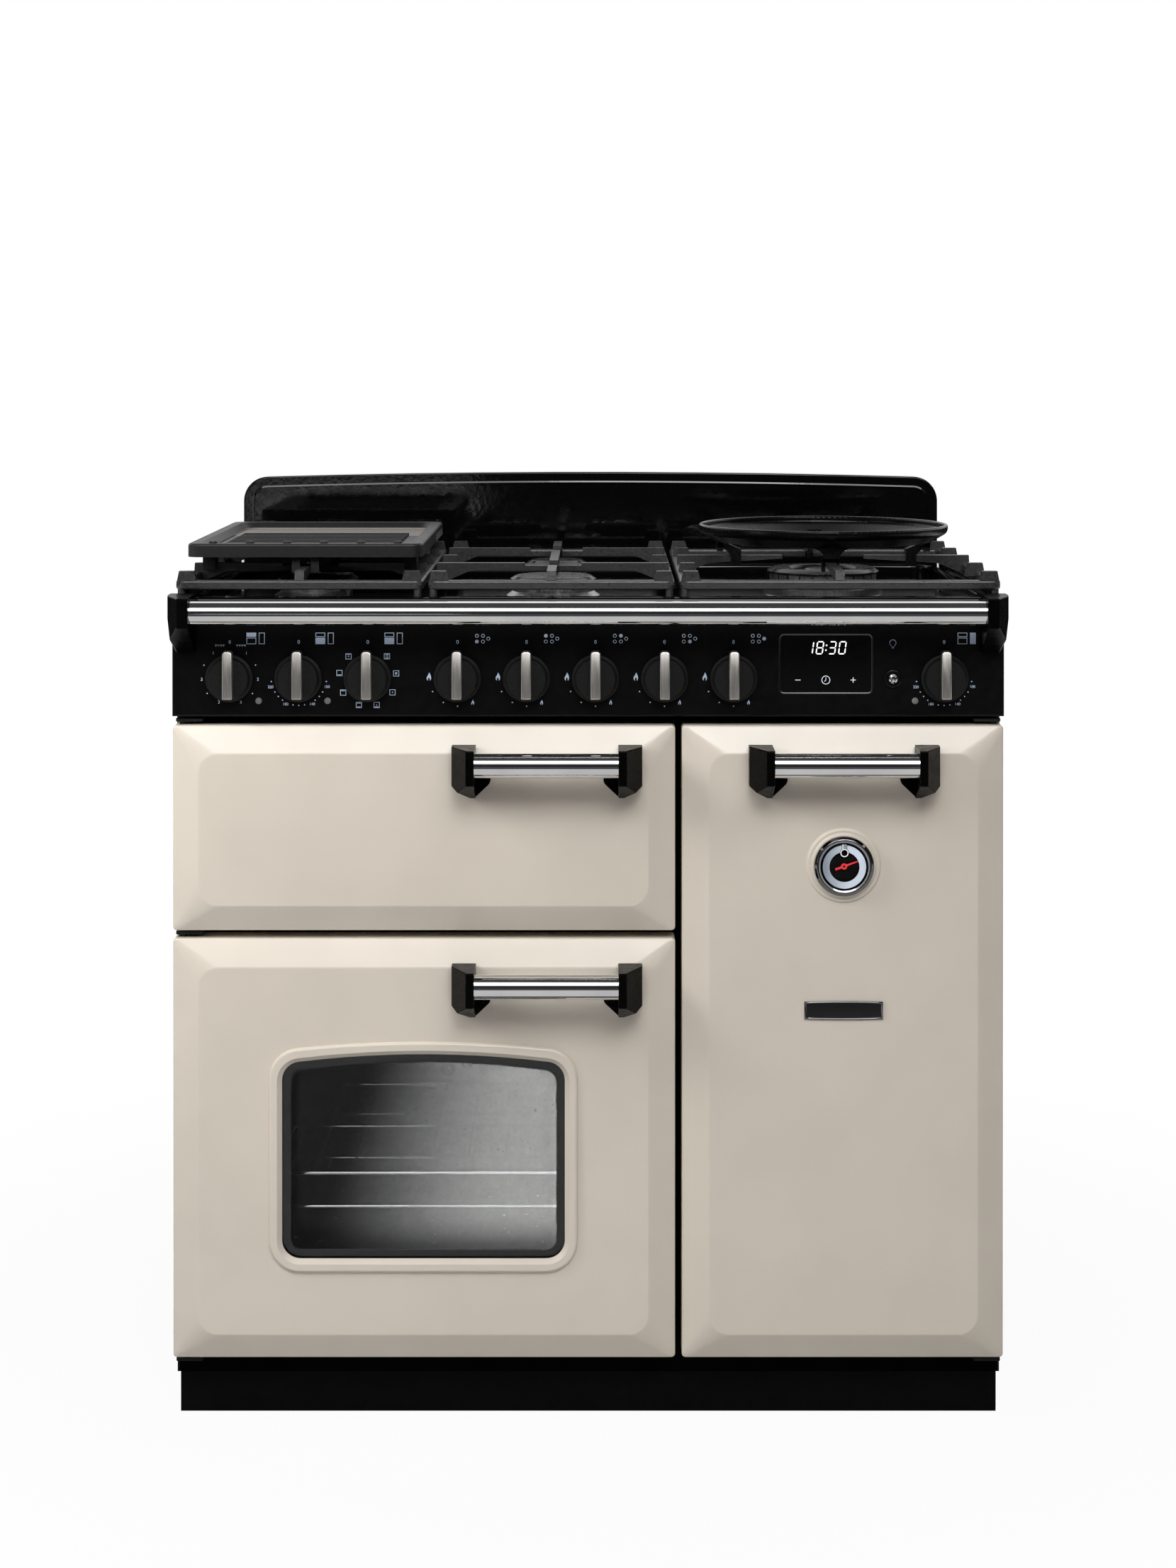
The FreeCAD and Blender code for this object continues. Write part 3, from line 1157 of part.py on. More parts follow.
def burner(name):
    x, y, r = burners[name]
    at = (x, y, z_floor)
    drop = z_floor - z_stub
    body = Piece(f"{name}_burner", at)
    crown, neck, top, slit = r - 3, d.burner_neck, d.crown_top, d.port_width / 2
    body.turn("Z", polygon((0, -drop), (neck, -drop), (neck, 0), (r + 4, 0), (r + 4, 4), (crown, 9),
                           (crown, top), (0, top)))
    port = body.pocket("XY", d.port_base, top, rect(crown - 4, crown + 6, -slit, slit))
    body.around("Z", [port], 24 if num(r) > 40 else 16)
    cap = Piece(f"{name}_cap", at)
    if name == "wok":
        hole = r * 0.6
        cap.turn("Z", polygon((hole, top), (r, top), (r, d.cap_edge, 1), (r - 6, d.cap_top, 3),
                              (hole + 3, d.cap_top, 2), (hole, d.cap_edge + 0.5)))
    else:
        cap.turn("Z", polygon((0, top), (r, top), (r, d.cap_edge, 1), (r - 6, d.cap_top, 3), (0, d.cap_top)))
    return body, cap


pairs = [burner(name) for name in burners]
x, y, r = burners["wok"]
inner_cap = Piece("wok_inner_cap", (x, y, z_floor))
top, peak = d.crown_top, d.cap_top - 1
inner_cap.turn("Z", polygon(
    (0, top), (r * 0.36, top), (r * 0.36, peak - 2, 1), (r * 0.3, peak, 2), (0, peak)))
node("burner_bodies", *[body for body, cap in pairs])
node("burner_caps", *[cap for body, cap in pairs], inner_cap)

# Cast pan supports


def pan_support(label, x, width, long_rows, middle, gap):
    """A frame with lugs and long fingers; rows are counted from the front."""
    piece = Piece(label, at=(x, y_lugs[0] - d.support_rail / 2, d.support_base))
    w, deep, rail = width / 2, d.support_depth, d.support_rail
    tall, top = d.support_tall, d.support_top - d.support_base
    rows = [rail / 2 + d.lug_pitch * i for i in range(5)]
    piece.pad("XY", 0, tall, rect(-w, w, 0, deep, d.support_round),
              rect(rail - w, w - rail, rail, deep - rail, d.support_inner_round))
    if middle:
        bar = d.middle_bar / 2
        piece.pad("XY", 0, tall, rect(rail / 2 - w, w - rail / 2, rows[2] - bar, rows[2] + bar))
    piece.soften(d.support_soften, lambda e: lies(e, z=tall) or lies(e, z=0))
    thick = d.finger_width / 2
    for sign in (-1, 1):
        out = sign * w
        for i, row in enumerate(rows):
            low, high = row - thick, row + thick
            if i in long_rows:
                tip = sign * gap
                piece.pad("XZ", low, high, polygon(
                    (out - sign * 3, tall - 7), (out - sign * 4, top), (tip, top),
                    (tip - sign * 0.5, top - d.finger_tip),
                    (out - sign * d.finger_root, top - d.finger_hollow, d.finger_arch),
                    (out - sign * 17, tall - 9)))
            else:
                piece.pad("XZ", low, high, polygon(
                    (out - sign * 1, tall - 5), (out - sign * 4, top), (out - sign * d.lug_length, top),
                    (out - sign * (d.lug_length + 4), tall - 5)))
    return piece, rows, w, deep, tall, top


def spine(piece, y0, y1, tall, top, root_at_front):
    """A finger that runs from front to back on the middle line."""
    thick = d.finger_width / 2
    if root_at_front:
        shape = polygon((y0 + 2, tall - 7), (y0 + 5, top), (y1, top), (y1, top - d.finger_tip),
                        (y0 + d.finger_root, top - d.finger_hollow, d.finger_arch), (y0 + 18, tall - 9))
    else:
        shape = polygon((y1 - 2, tall - 7), (y1 - 18, tall - 9),
                        (y1 - d.finger_root, top - d.finger_hollow, d.finger_arch),
                        (y0, top - d.finger_tip), (y0, top), (y1 - 5, top))
    piece.pad("YZ", -thick, thick, shape)


def support_feet(piece, w, deep):
    drop = d.support_base - d.hob_height - d.seat_clearance
    inset = d.support_rail / 2
    piece.pad("XY", -drop, 2, *[
        circle(side * (w - inset), y, d.support_foot) for side in (-1, 1) for y in (inset, deep - inset)])


for label, x in (("pan_support_left", x_first), ("pan_support_centre", x_second)):
    piece, rows, w, deep, tall, top = pan_support(label, x, d.support_width, (1, 3), True, d.finger_gap)
    spine(piece, 0, rows[1] - d.finger_gap, tall, top, True)
    spine(piece, rows[3] + d.finger_gap, deep, tall, top, False)
    thick = d.finger_width / 2
    piece.pad("YZ", -thick, thick, polygon(
        (rows[1] + d.finger_gap, top), (rows[1] + d.finger_gap, top - d.finger_tip), (rows[2] - 12, tall - 4),
        (rows[2] + 12, tall - 4), (rows[3] - d.finger_gap, top - d.finger_tip),
        (rows[3] - d.finger_gap, top)))
    support_feet(piece, w, deep)
    node(label, piece)
piece, rows, w, deep, tall, top = pan_support(
    "pan_support_right", x_third, right_width, (2,), False, d.wok_gap)
spine(piece, 0, rows[2] - d.wok_spine_gap, tall, top, True)
spine(piece, rows[2] + d.wok_spine_gap, deep, tall, top, False)
support_feet(piece, w, deep)
node("pan_support_right", piece)

# Griddle plate on the left support

griddle = Piece("griddle", at=(x_first, y_edge + d.griddle_front, d.griddle_base))
w, deep, tall = d.griddle_width / 2, d.griddle_depth, d.griddle_tall
seat = d.support_top - d.griddle_base + d.seat_clearance
border, plate, wall = d.griddle_border, tall - d.griddle_sink, d.griddle_wall
griddle.pad("XY", 0, tall, rect(-w, w, 0, deep, d.griddle_corner))
griddle.soften(d.griddle_soften, lambda e: lies(e, z=tall))
griddle.pocket("XY", plate, tall, rect(border - w, w - border, border, deep - border, 12))
griddle.soften(d.griddle_slope, lambda e: lies(e, z=tall) and 8 < e.BoundBox.Center.y < num(deep) - 8
               and abs(e.BoundBox.Center.x) < num(w) - 8, "Chamfer")
ribs = round(num(d.griddle_ribs))
y_ribs = [d.rib_first + (deep * d.rib_share - d.rib_first) * i / (ribs - 1) for i in range(ribs)]
rib_half = w - d.rib_inset
griddle.pad("XY", plate, plate + d.rib_tall,
            *[rect(-rib_half, rib_half, y, y + d.griddle_rib) for y in y_ribs])
griddle.pocket("XY", 0, d.griddle_hollow, rect(wall - w, w - wall, wall, deep - wall, 8))
low, root, thick = seat - d.prong_tall, d.prong_root, d.prong_thick
y_rows = [row - y_edge - d.griddle_front for row in (y_lugs[1], y_lugs[3])]
prong = d.finger_width / 2 + 1
for x0, x1 in ((10 - w, 24 - w), (w - 24, w - 10)):
    for row in y_rows:
        griddle.pad("XZ", row - prong - thick, row + prong + thick, rect(x0, x1, seat, root))
        griddle.pad("XZ", row - prong - thick, row - prong, rect(x0, x1, low, root))
        griddle.pad("XZ", row + prong, row + prong + thick, rect(x0, x1, low, root))
griddle.pad("XZ", 9, 17, rect(-prong - 9, -prong, low, root), rect(prong, prong + 9, low, root))
peak = tall + d.boss_rise
griddle.pad("XY", tall - 1, peak,
            *[circle(d.boss_pitch * (i - 2.5), d.boss_front, d.boss_radius) for i in range(6)])
griddle.soften(d.boss_soften, lambda e: lies(e, z=peak))
node("griddle", griddle)

# Wok cradle on the right support

cradle = Piece("wok_cradle", at=(x_third, y_lugs[2], d.support_top))
base, high = d.cradle_rise, d.cradle_rise + d.cradle_tall
r, rb = d.cradle_radius, d.cradle_base_radius
cradle.turn("Z", polygon(
    (rb - 6, base), (rb, base, 3), (r, high - 9, 8), (r, high, 2.4), (r - d.cradle_lip, high, 2.4),
    (r - d.cradle_lip, high - 7, 4)))
foot_r = d.cradle_foot
seat = d.seat_clearance
arm_half = d.cradle_arm / 2
arm = cradle.pad("XZ", -arm_half, arm_half, polygon(
    (foot_r - 6, seat), (foot_r + 6, seat), (rb + 2, base + 5), (rb - 4, base + 5), (rb - 8, base),
    (foot_r - 6, 7)))
grip, outer = rect(foot_r - 6, foot_r + 6, -d.cradle_prong_drop, 8), d.cradle_prong + 6
prong_a = cradle.pad("XZ", 6, outer, grip)
prong_b = cradle.pad("XZ", -outer, -6, grip)
flare = d.cradle_flare
web = cradle.pad("YZ", rb - 9, rb - 2, polygon(
    (-flare, base + 3), (-flare, base + 1), (-11, base - 4, 10), (-9, 5), (9, 5), (11, base - 4, 10),
    (flare, base + 1), (flare, base + 3)))
cradle.around("Z", [arm, prong_a, prong_b, web], 4)
node("wok_cradle", cradle)

# Check every object and write one file for each piece

doc.recompute()
faulty = [item.Label for item in doc.Objects if "Invalid" in item.State or "Error" in item.State]
for label, item in nodes.items():
    shape = item.Shape
    if shape.isNull() or not shape.isValid() or not shape.Solids:
        faulty.append(label)
if faulty:
    raise ValueError("these pieces did not build: " + ", ".join(sorted(set(faulty))))
os.makedirs("parts", exist_ok=True)
for label, item in nodes.items():
    item.Shape.exportStep(f"parts/{label}.step")
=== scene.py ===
import json
import math

import bmesh
import bpy
from mathutils import Matrix, Vector

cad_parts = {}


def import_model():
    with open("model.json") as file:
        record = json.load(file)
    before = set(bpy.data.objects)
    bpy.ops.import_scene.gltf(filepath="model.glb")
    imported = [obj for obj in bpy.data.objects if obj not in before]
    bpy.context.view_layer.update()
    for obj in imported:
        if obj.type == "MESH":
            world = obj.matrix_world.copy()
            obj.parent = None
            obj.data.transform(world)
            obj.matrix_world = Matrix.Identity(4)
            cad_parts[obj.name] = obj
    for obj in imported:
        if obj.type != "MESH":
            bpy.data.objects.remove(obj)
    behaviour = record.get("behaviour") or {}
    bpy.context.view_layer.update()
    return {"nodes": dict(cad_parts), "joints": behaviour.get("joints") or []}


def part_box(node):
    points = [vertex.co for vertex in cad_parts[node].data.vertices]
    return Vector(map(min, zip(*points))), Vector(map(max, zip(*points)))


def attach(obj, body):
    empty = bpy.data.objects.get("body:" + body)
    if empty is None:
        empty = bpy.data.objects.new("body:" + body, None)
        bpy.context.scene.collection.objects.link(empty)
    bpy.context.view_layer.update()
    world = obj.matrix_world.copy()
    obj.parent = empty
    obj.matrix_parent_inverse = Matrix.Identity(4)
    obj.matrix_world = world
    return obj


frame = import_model()

# Lengths are in metres, and MM turns millimetres into metres. Tables of sizes are in millimetres.
MM = 0.001
CARCASS = "cooker"
DOORS = ("grill_door", "main_door", "tall_door")
JOINTS = {joint["name"]: joint for joint in frame["joints"]}
BLACK = (0, 0, 0, 1)
WHITE = (1, 1, 1, 1)


def pivot(joint):
    """The point a hinge turns about."""
    return Vector(JOINTS[joint]["pos_m"])


# The control panel's front face lies where the knobs turn.
_, Y_PANEL, KNOB_LEVEL = pivot("grill_knob_turn")

# Node trees


def map_range(tree, source, start, end, low=0.0, high=1.0):
    """A node that takes start to end onto low to high, and holds there outside them."""
    node = tree.nodes.new("ShaderNodeMapRange")
    for name, value in (("From Min", start), ("From Max", end), ("To Min", low), ("To Max", high)):
        node.inputs[name].default_value = value
    tree.links.new(source, node.inputs["Value"])
    return node


def math_node(tree, operation, first, second):
    """The result of a Math node with two inputs, each of them a socket or a number."""
    node = tree.nodes.new("ShaderNodeMath")
    node.operation = operation
    for socket, value in zip(node.inputs, (first, second)):
        if isinstance(value, float):
            socket.default_value = value
        else:
            tree.links.new(value, socket)
    return node.outputs[0]


def own_coords(tree):
    """An object's own coordinates, which move with it."""
    return tree.nodes.new("ShaderNodeTexCoord").outputs["Object"]


def along(tree, coords, axis):
    """The part of the coordinates along one axis."""
    split = tree.nodes.new("ShaderNodeSeparateXYZ")
    tree.links.new(coords, split.inputs[0])
    return split.outputs[axis]


# Materials


def srgb(red, green, blue):
    """A display colour from 0 to 255 as the linear colour that a shader takes."""
    def linear(value):
        value /= 255
        return value / 12.92 if value <= 0.04045 else ((value + 0.055) / 1.055) ** 2.4
    return (linear(red), linear(green), linear(blue), 1.0)


def grey(level, blue=0):
    """A neutral display colour, with a little blue if asked for."""
    return srgb(level, level, level + blue)


SOCKETS = {
    "color": "Base Color", "metallic": "Metallic", "ior": "IOR", "specular": "Specular IOR Level",
    "transmission": "Transmission Weight", "coat": "Coat Weight", "coat_rough": "Coat Roughness",
    "glow": "Emission Color", "glow_strength": "Emission Strength",
}
# Noise runs from 0 to 1, and most of it lies between these. A step takes up its whole span.
GLOSS_BOUNDS = (0.3, 0.7)
TINT_BOUNDS = (0.35, 0.65)
STEP_BOUNDS = (0.0, 1.0)


class Finish:
    """A Principled material whose colour, gloss and relief follow procedural textures."""

    def __init__(self, name, **sockets):
        self.material = bpy.data.materials.new(name)
        self.material.use_nodes = True
        self.tree = self.material.node_tree
        self.nodes = self.tree.nodes
        self.links = self.tree.links
        self.shader = self.nodes["Principled BSDF"]
        for key, value in sockets.items():
            self.shader.inputs[SOCKETS[key]].default_value = value
        self.coords = own_coords(self.tree)
        self.relief = None

    def noise(self, size, detail, stretch=(1, 1, 1)):
        """Noise with features about size metres across, drawn out by stretch."""
        mapping = self.nodes.new("ShaderNodeMapping")
        mapping.inputs["Scale"].default_value = [1 / (size * factor) for factor in stretch]
        texture = self.nodes.new("ShaderNodeTexNoise")
        texture.inputs["Scale"].default_value = 1.0
        texture.inputs["Detail"].default_value = detail
        self.links.new(self.coords, mapping.inputs["Vector"])
        self.links.new(mapping.outputs["Vector"], texture.inputs["Vector"])
        return texture.outputs["Fac"]

    def step(self, axis, start, end):
        """0 before start and 1 past end along an axis of the piece."""
        return map_range(self.tree, along(self.tree, self.coords, axis), start, end).outputs["Result"]

    def bow(self, axis, middle):
        """The squared distance from middle along an axis, in square metres."""
        away = math_node(self.tree, "SUBTRACT", along(self.tree, self.coords, axis), middle)
        return math_node(self.tree, "MULTIPLY", away, away)

    def tint(self, source, dark, light, bounds=TINT_BOUNDS):
        """Let the colour run from dark to light as the source crosses the bounds."""
        ramp = self.nodes.new("ShaderNodeValToRGB")
        for element, position, color in zip(ramp.color_ramp.elements, bounds, (dark, light)):
            element.position = position
            element.color = color
        self.links.new(source, ramp.inputs["Fac"])
        self.links.new(ramp.outputs["Color"], self.shader.inputs["Base Color"])

    def polish(self, source, low, high):
        """Let the roughness run from low to high with the source, about the socket's own value."""
        span = map_range(self.tree, source, *GLOSS_BOUNDS, low, high)
        socket = self.shader.inputs["Roughness"]
        socket.default_value = (low + high) / 2
        self.links.new(span.outputs["Result"], socket)

    def bump(self, source, strength, depth, invert=False):
        """Lay a relief over those already there."""
        node = self.nodes.new("ShaderNodeBump")
        node.invert = invert
        node.inputs["Strength"].default_value = strength
        node.inputs["Distance"].default_value = depth
        self.links.new(source, node.inputs["Height"])
        if self.relief:
            self.links.new(self.relief, node.inputs["Normal"])
        self.relief = node.outputs["Normal"]
        self.links.new(self.relief, self.shader.inputs["Normal"])


def surface(name, tint, polish, bumps=(), **sockets):
    """A material whose colour, gloss and relief each follow noise of their own.

    A tint is (size, detail, dark, light), a polish is (size, detail, lowest, highest roughness), and a bump
    is (size, detail, strength, depth). Sizes and depths are in metres.
    """
    finish = Finish(name, **sockets)
    finish.tint(finish.noise(*tint[:2]), *tint[2:])
    finish.polish(finish.noise(*polish[:2]), *polish[2:])
    for bump in bumps:
        finish.bump(finish.noise(*bump[:2]), *bump[2:])
    return finish.material


def satin_black(name, level, rough, grain, relief, specular=0.3):
    """Black paint or plastic with a fine grain."""
    return surface(name, (0.03, 3, grey(level), grey(level + 2)), (0.01, 3, rough - 0.05, rough + 0.06),
                   [(grain, 3, relief, 0.0003)], specular=specular)


def chrome(name, level):
    """Bright plating with faint smears."""
    return surface(name, (0.05, 2, grey(level, 2), grey(level + 10, 1)), (0.03, 4, 0.03, 0.07), metallic=1.0)


def steel(name, level):
    """Dull bare metal."""
    return surface(name, (0.006, 4, grey(level), grey(level + 21)), (0.004, 3, 0.32, 0.5), metallic=1.0)


def cast_iron(name, dark, light, rough, specular, relief):
    """Sand-cast iron: shallow waves under a fine grain."""
    return surface(name, (0.0018, 4, grey(dark, 1), grey(light, 2)), (0.003, 3, rough * 0.75, rough * 1.25),
                   [(0.0035, 3, 0.22 * relief, 0.0006), (0.0011, 2, 0.4 * relief, 0.0005)], specular=specular)


def plain(name, color, rough, specular=0.5):
    """A simple moulded or printed surface with slight unevenness."""
    lighter = tuple(min(1.0, part * 1.08) for part in color[:3]) + (1.0,)
    return surface(name, (0.004, 3, color, lighter), (0.008, 3, rough - 0.04, rough + 0.04),
                   specular=specular)


def lit(name, color, strength):
    """A mark that glows."""
    light = Finish(name, color=color, glow=color, glow_strength=strength)
    light.polish(light.noise(0.002, 3), 0.36, 0.44)
    return light.material


def clear(name, level, ior, size, haze):
    """Glass with a trace of haze in patches of this size."""
    glass = Finish(name, color=grey(level), ior=ior, transmission=1.0)
    glass.polish(glass.noise(size, 3), 0.0, haze)
    return glass.material


# The fronts of the knobs' blades are crowned along their length, highest a little below the middle.
CROWN_RADIUS = 140 * MM
CROWN_DROP = 7 * MM


def satin_nickel():
    """Metal of the knobs' blades, brushed along them."""
    metal = Finish("satin_nickel", metallic=0.95)
    metal.bump(metal.bow("Z", KNOB_LEVEL - CROWN_DROP), 1.0, 0.5 / CROWN_RADIUS, invert=True)
    metal.tint(metal.noise(0.0012, 3, (1, 1, 18)), srgb(186, 182, 177), srgb(204, 200, 195))
    metal.polish(metal.noise(0.004, 3, (1, 1, 8)), 0.30, 0.40)
    metal.bump(metal.noise(0.0006, 2, (1, 1, 30)), 0.08, 0.0001)
    return metal.material


# The griddle's flat plate starts at this share of its depth, and lies at this level.
FLAT_SHARE = 0.63
FLAT_LEVEL = 941 * MM


def griddle_iron():
    """Dark ribbed iron whose flat rear plate is painted a lighter warm grey, a painted sheen of light
    glancing off it.
    """
    iron = Finish("griddle_iron", specular=0.4)
    low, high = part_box("griddle")
    rear = low.y + (high.y - low.y) * FLAT_SHARE
    flat = iron.step("Y", rear, rear + 2 * MM)
    below = iron.step("Z", FLAT_LEVEL + 2 * MM, FLAT_LEVEL + 1 * MM)
    # Painted sheen: the top of the flat rear plate takes a lighter warm grey than the rest of the iron.
    plate = math_node(iron.tree, "MULTIPLY", flat, below)
    iron.tint(plate, grey(30), srgb(140, 134, 128), STEP_BOUNDS)
    iron.polish(iron.noise(0.003, 3), 0.38, 0.52)
    iron.bump(iron.noise(0.0035, 3), 0.15, 0.0006)
    iron.bump(iron.noise(0.0011, 2), 0.3, 0.0005)
    return iron.material


def dial_scale_painted_reflection():
    """The pale ring of the thermometer, with a painted reflection: it darkens to the left and is lighter on
    the right.
    """
    ring = Finish("dial_ring", specular=0.2)
    middle = pivot("thermometer_needle_turn").x
    # Painted reflection and shade: the ring's colour steps from dark on the left to light on the right.
    shade = ring.step("X", middle - 20 * MM, middle + 6 * MM)
    ring.tint(shade, srgb(124, 131, 142), srgb(188, 197, 209), STEP_BOUNDS)
    ring.polish(ring.noise(0.004, 3), 0.4, 0.5)
    return ring.material


MATERIALS = {
    "door": surface("cream_paint", (0.09, 2, srgb(220, 210, 196), srgb(224, 214, 200)), (0.02, 3, 0.34, 0.40),
                    [(0.0022, 2, 0.04, 0.0004)], coat=0.45, coat_rough=0.22),
    "enamel": surface("black_enamel", (0.004, 4, grey(4), grey(7)), (0.015, 3, 0.04, 0.09),
                      [(0.007, 2, 0.07, 0.0006)], specular=0.45),
    "oven": surface("oven_enamel", (0.0035, 2, grey(26), grey(33)), (0.01, 3, 0.16, 0.28),
                    [(0.006, 2, 0.08, 0.0004)], coat=0.3, coat_rough=0.1),
    "cap": surface("burner_cap_enamel", (0.002, 3, grey(9), grey(15)), (0.004, 3, 0.2, 0.32),
                   [(0.0015, 2, 0.1, 0.0003)]),
    "panel": satin_black("panel_black", 3, 0.42, 0.0008, 0.1, 0.15),
    "moulded": satin_black("moulded_black", 4, 0.26, 0.0009, 0.08, 0.04),
    # The chassis is black, made darker and duller than the panel's black: partly painted shade, so the gaps
    # between the doors read dark.
    "frame": satin_black("frame_black", 1, 0.55, 0.0014, 0.1, 0.05),
    "casing": satin_black("casing_black", 20, 0.5, 0.0014, 0.2),
    "plinth": satin_black("plinth_black", 9, 0.5, 0.0022, 0.3, 0.15),
    "knob": surface("grained_black", (0.0012, 3, grey(12), grey(24)), (0.003, 3, 0.45, 0.6),
                    [(0.001, 2, 0.5, 0.0003)], specular=0.22),
    "rim": surface("rim_black", (0.004, 3, grey(10), grey(14)), (0.006, 3, 0.16, 0.24), specular=1.0),
    "nickel": satin_nickel(),
    "chrome": chrome("chrome", 222),
    # A copy of the chrome made darker: its darker colour is painted shade, used on the thermometer's bezel
    # and the name plate's frame.
    "dark_chrome": chrome("dark_chrome", 122),
    "aluminium": surface("cast_aluminium", (0.003, 4, grey(160), grey(190)), (0.004, 3, 0.30, 0.44),
                         [(0.0012, 2, 0.15, 0.0002)], metallic=1.0),
    "steel": steel("zinc_steel", 150),
    "dark_steel": steel("element_steel", 92),
    "cast": cast_iron("cast_iron", 26, 52, 0.36, 1.0, 0.6),
    "cradle": cast_iron("cradle_iron", 5, 9, 0.26, 0.25, 0.01),
    "griddle": griddle_iron(),
    "glass": clear("tinted_glass", 226, 1.16, 0.05, 0.008),
    "lens": clear("clear_lens", 250, 1.08, 0.01, 0.01),
    "ink": plain("pale_ink", srgb(190, 206, 228), 0.5),
    "white_ink": lit("lit_ink", srgb(225, 232, 240), 0.35),
    "digits": lit("lit_digits", WHITE, 1.0),
    "gloss": plain("gloss_black", grey(6, 1), 0.1),
    "white_plastic": plain("switch_plastic", srgb(205, 203, 196), 0.5),
    "lamp": plain("lamp_lens", srgb(120, 120, 118), 0.2),
    "red": plain("needle_red", srgb(206, 30, 36), 0.4),
    "rubber": plain("seal_rubber", grey(14), 0.7),
    "dial": dial_scale_painted_reflection(),
    "dial_black": plain("dial_black", grey(4), 0.5, 0.05),
    "sign": plain("sign_ink", srgb(225, 230, 236), 0.45),
}

# Dressing of the CAD pieces


def dress(node, *names, choose=None):
    """Give a CAD piece its materials; choose picks one of them from a face's middle."""
    mesh = frame["nodes"][node].data
    mesh.materials.clear()
    for name in names:
        mesh.materials.append(MATERIALS[name])
    for polygon in mesh.polygons:
        polygon.material_index = choose(polygon.center) if choose else 0


PLAIN_NODES = {
    "casing": ("casing_panels",),
    "enamel": ("hob_tray", "splashback"),
    "moulded": ("handrail_brackets",),
    "chrome": ("handrail_bar", "light_button", "shelf_ladders", "oven_shelves"),
    "frame": ("chassis",),
    "plinth": ("plinth",),
    "steel": ("fan_motors",),
    "rubber": ("hinge_brackets",),
    "oven": ("main_oven_cavity", "tall_oven_cavity", "grill_cavity", "grill_pan"),
    "dark_steel": ("heating_elements", "main_oven_fan", "tall_oven_fan"),
    "aluminium": ("gas_rail", "burner_bodies"),
    "cap": ("burner_caps",),
    "glass": ("main_door_glass",),
    "red": ("thermometer_needle",),
    "cast": ("pan_support_left", "pan_support_centre", "pan_support_right"),
    "cradle": ("wok_cradle",),
    "griddle": ("griddle",),
    "white_plastic": ("oven_switches",),
}
for material, nodes in PLAIN_NODES.items():
    for node in nodes:
        dress(node, material)
for door in DOORS:
    dress(f"{door}_skin", "door")
    dress(f"{door}_liner", "oven")
    dress(f"{door}_handle_bar", "chrome")
    dress(f"{door}_handle_brackets", "moulded")

# A knob's blade stands farther out from the panel than the knob's round face.
KNOB_FACE = 16.05 * MM
knob_pivots = {}
for joint in frame["joints"]:
    child = joint["child"]
    if child.endswith("_spindle"):
        dress(child, "steel")
        child = child.replace("_spindle", "_knob")
    if child.endswith("_knob") and joint["type"] == "hinge":
        knob_pivots[child] = Vector(joint["pos_m"])
        dress(child, "knob", "nickel", choose=lambda spot: int(spot.y < Y_PANEL - KNOB_FACE))

# The clock's window lies between these, and the lamps lie outside them.
CLOCK_LEFT, CLOCK_RIGHT = 200 * MM, 315 * MM
FOOT_PAD = 10.2 * MM
PANEL_SKIN = 0.2 * MM
DIAL_RADIUS = 25.2 * MM
DIAL_MIDDLE = pivot("thermometer_needle_turn")


def on_dial(spot):
    return int(math.hypot(spot.x - DIAL_MIDDLE.x, spot.z - DIAL_MIDDLE.z) < DIAL_RADIUS)


dress("clock_and_lamps", "gloss", "lamp", choose=lambda spot: int(not CLOCK_LEFT < spot.x < CLOCK_RIGHT))
dress("levelling_feet", "steel", "rubber", choose=lambda spot: int(spot.z < FOOT_PAD))
dress("control_panel", "panel", "gloss", choose=lambda spot: int(spot.y < Y_PANEL - PANEL_SKIN))
dress("thermometer", "dark_chrome", "dial_black", choose=on_dial)

# Mesh building


def place(name, data):
    """Put an object with this data into the scene."""
    thing = bpy.data.objects.new(name, data)
    bpy.context.scene.collection.objects.link(thing)
    return thing


def piece(name, mesh, material, body):
    """Turn a bmesh into a piece that rides on a CAD body."""
    data = bpy.data.meshes.new(name)
    bmesh.ops.recalc_face_normals(mesh, faces=mesh.faces[:])
    mesh.to_mesh(data)
    mesh.free()
    data.materials.append(MATERIALS[material])
    thing = place(name, data)
    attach(thing, body)
    return thing


def smooth(thing, angle=35):
    """Shade a piece smoothly, with its edges above the angle left sharp."""
    thing.data.polygons.foreach_set("use_smooth", [True] * len(thing.data.polygons))
    thing.data.set_sharp_from_angle(angle=math.radians(angle))


def loft(mesh, loops, closed=True):
    """Join loops of equally many points by quads, and cap both ends if closed."""
    rings = [[mesh.verts.new(point) for point in loop] for loop in loops]
    count = len(rings[0])
    for first, second in zip(rings, rings[1:]):
        for i in range(count):
            j = (i + 1) % count
            mesh.faces.new((first[i], first[j], second[j], second[i]))
    if closed:
        mesh.faces.new(rings[0])
        mesh.faces.new(rings[-1][::-1])


def loft_ring(mesh, loops):
    """Join loops of points as loft does, and the last of them to the first."""
    loft(mesh, loops + loops[:1], closed=False)
    bmesh.ops.remove_doubles(mesh, verts=mesh.verts[:], dist=MM * MM)


def box_points(x0, x1, z0, z1):
    return [(x0, z0), (x1, z0), (x1, z1), (x0, z1)]


def circle_points(x, z, radius, sides):
    """Points round a circle, clockwise from the top."""
    turns = (2 * math.pi * i / sides for i in range(sides))
    return [(x + radius * math.sin(a), z + radius * math.cos(a)) for a in turns]


def arc_points(x, z, radius, start, sweep, steps):
    """Points on an arc from the start angle through the sweep, in degrees, anticlockwise from +X."""
    turns = (math.radians(start + sweep * i / steps) for i in range(steps + 1))
    return [(x + radius * math.cos(a), z + radius * math.sin(a)) for a in turns]


def at_depth(points, y):
    """Points of a flat shape, put at a depth."""
    return [(x, y, z) for x, z in points]


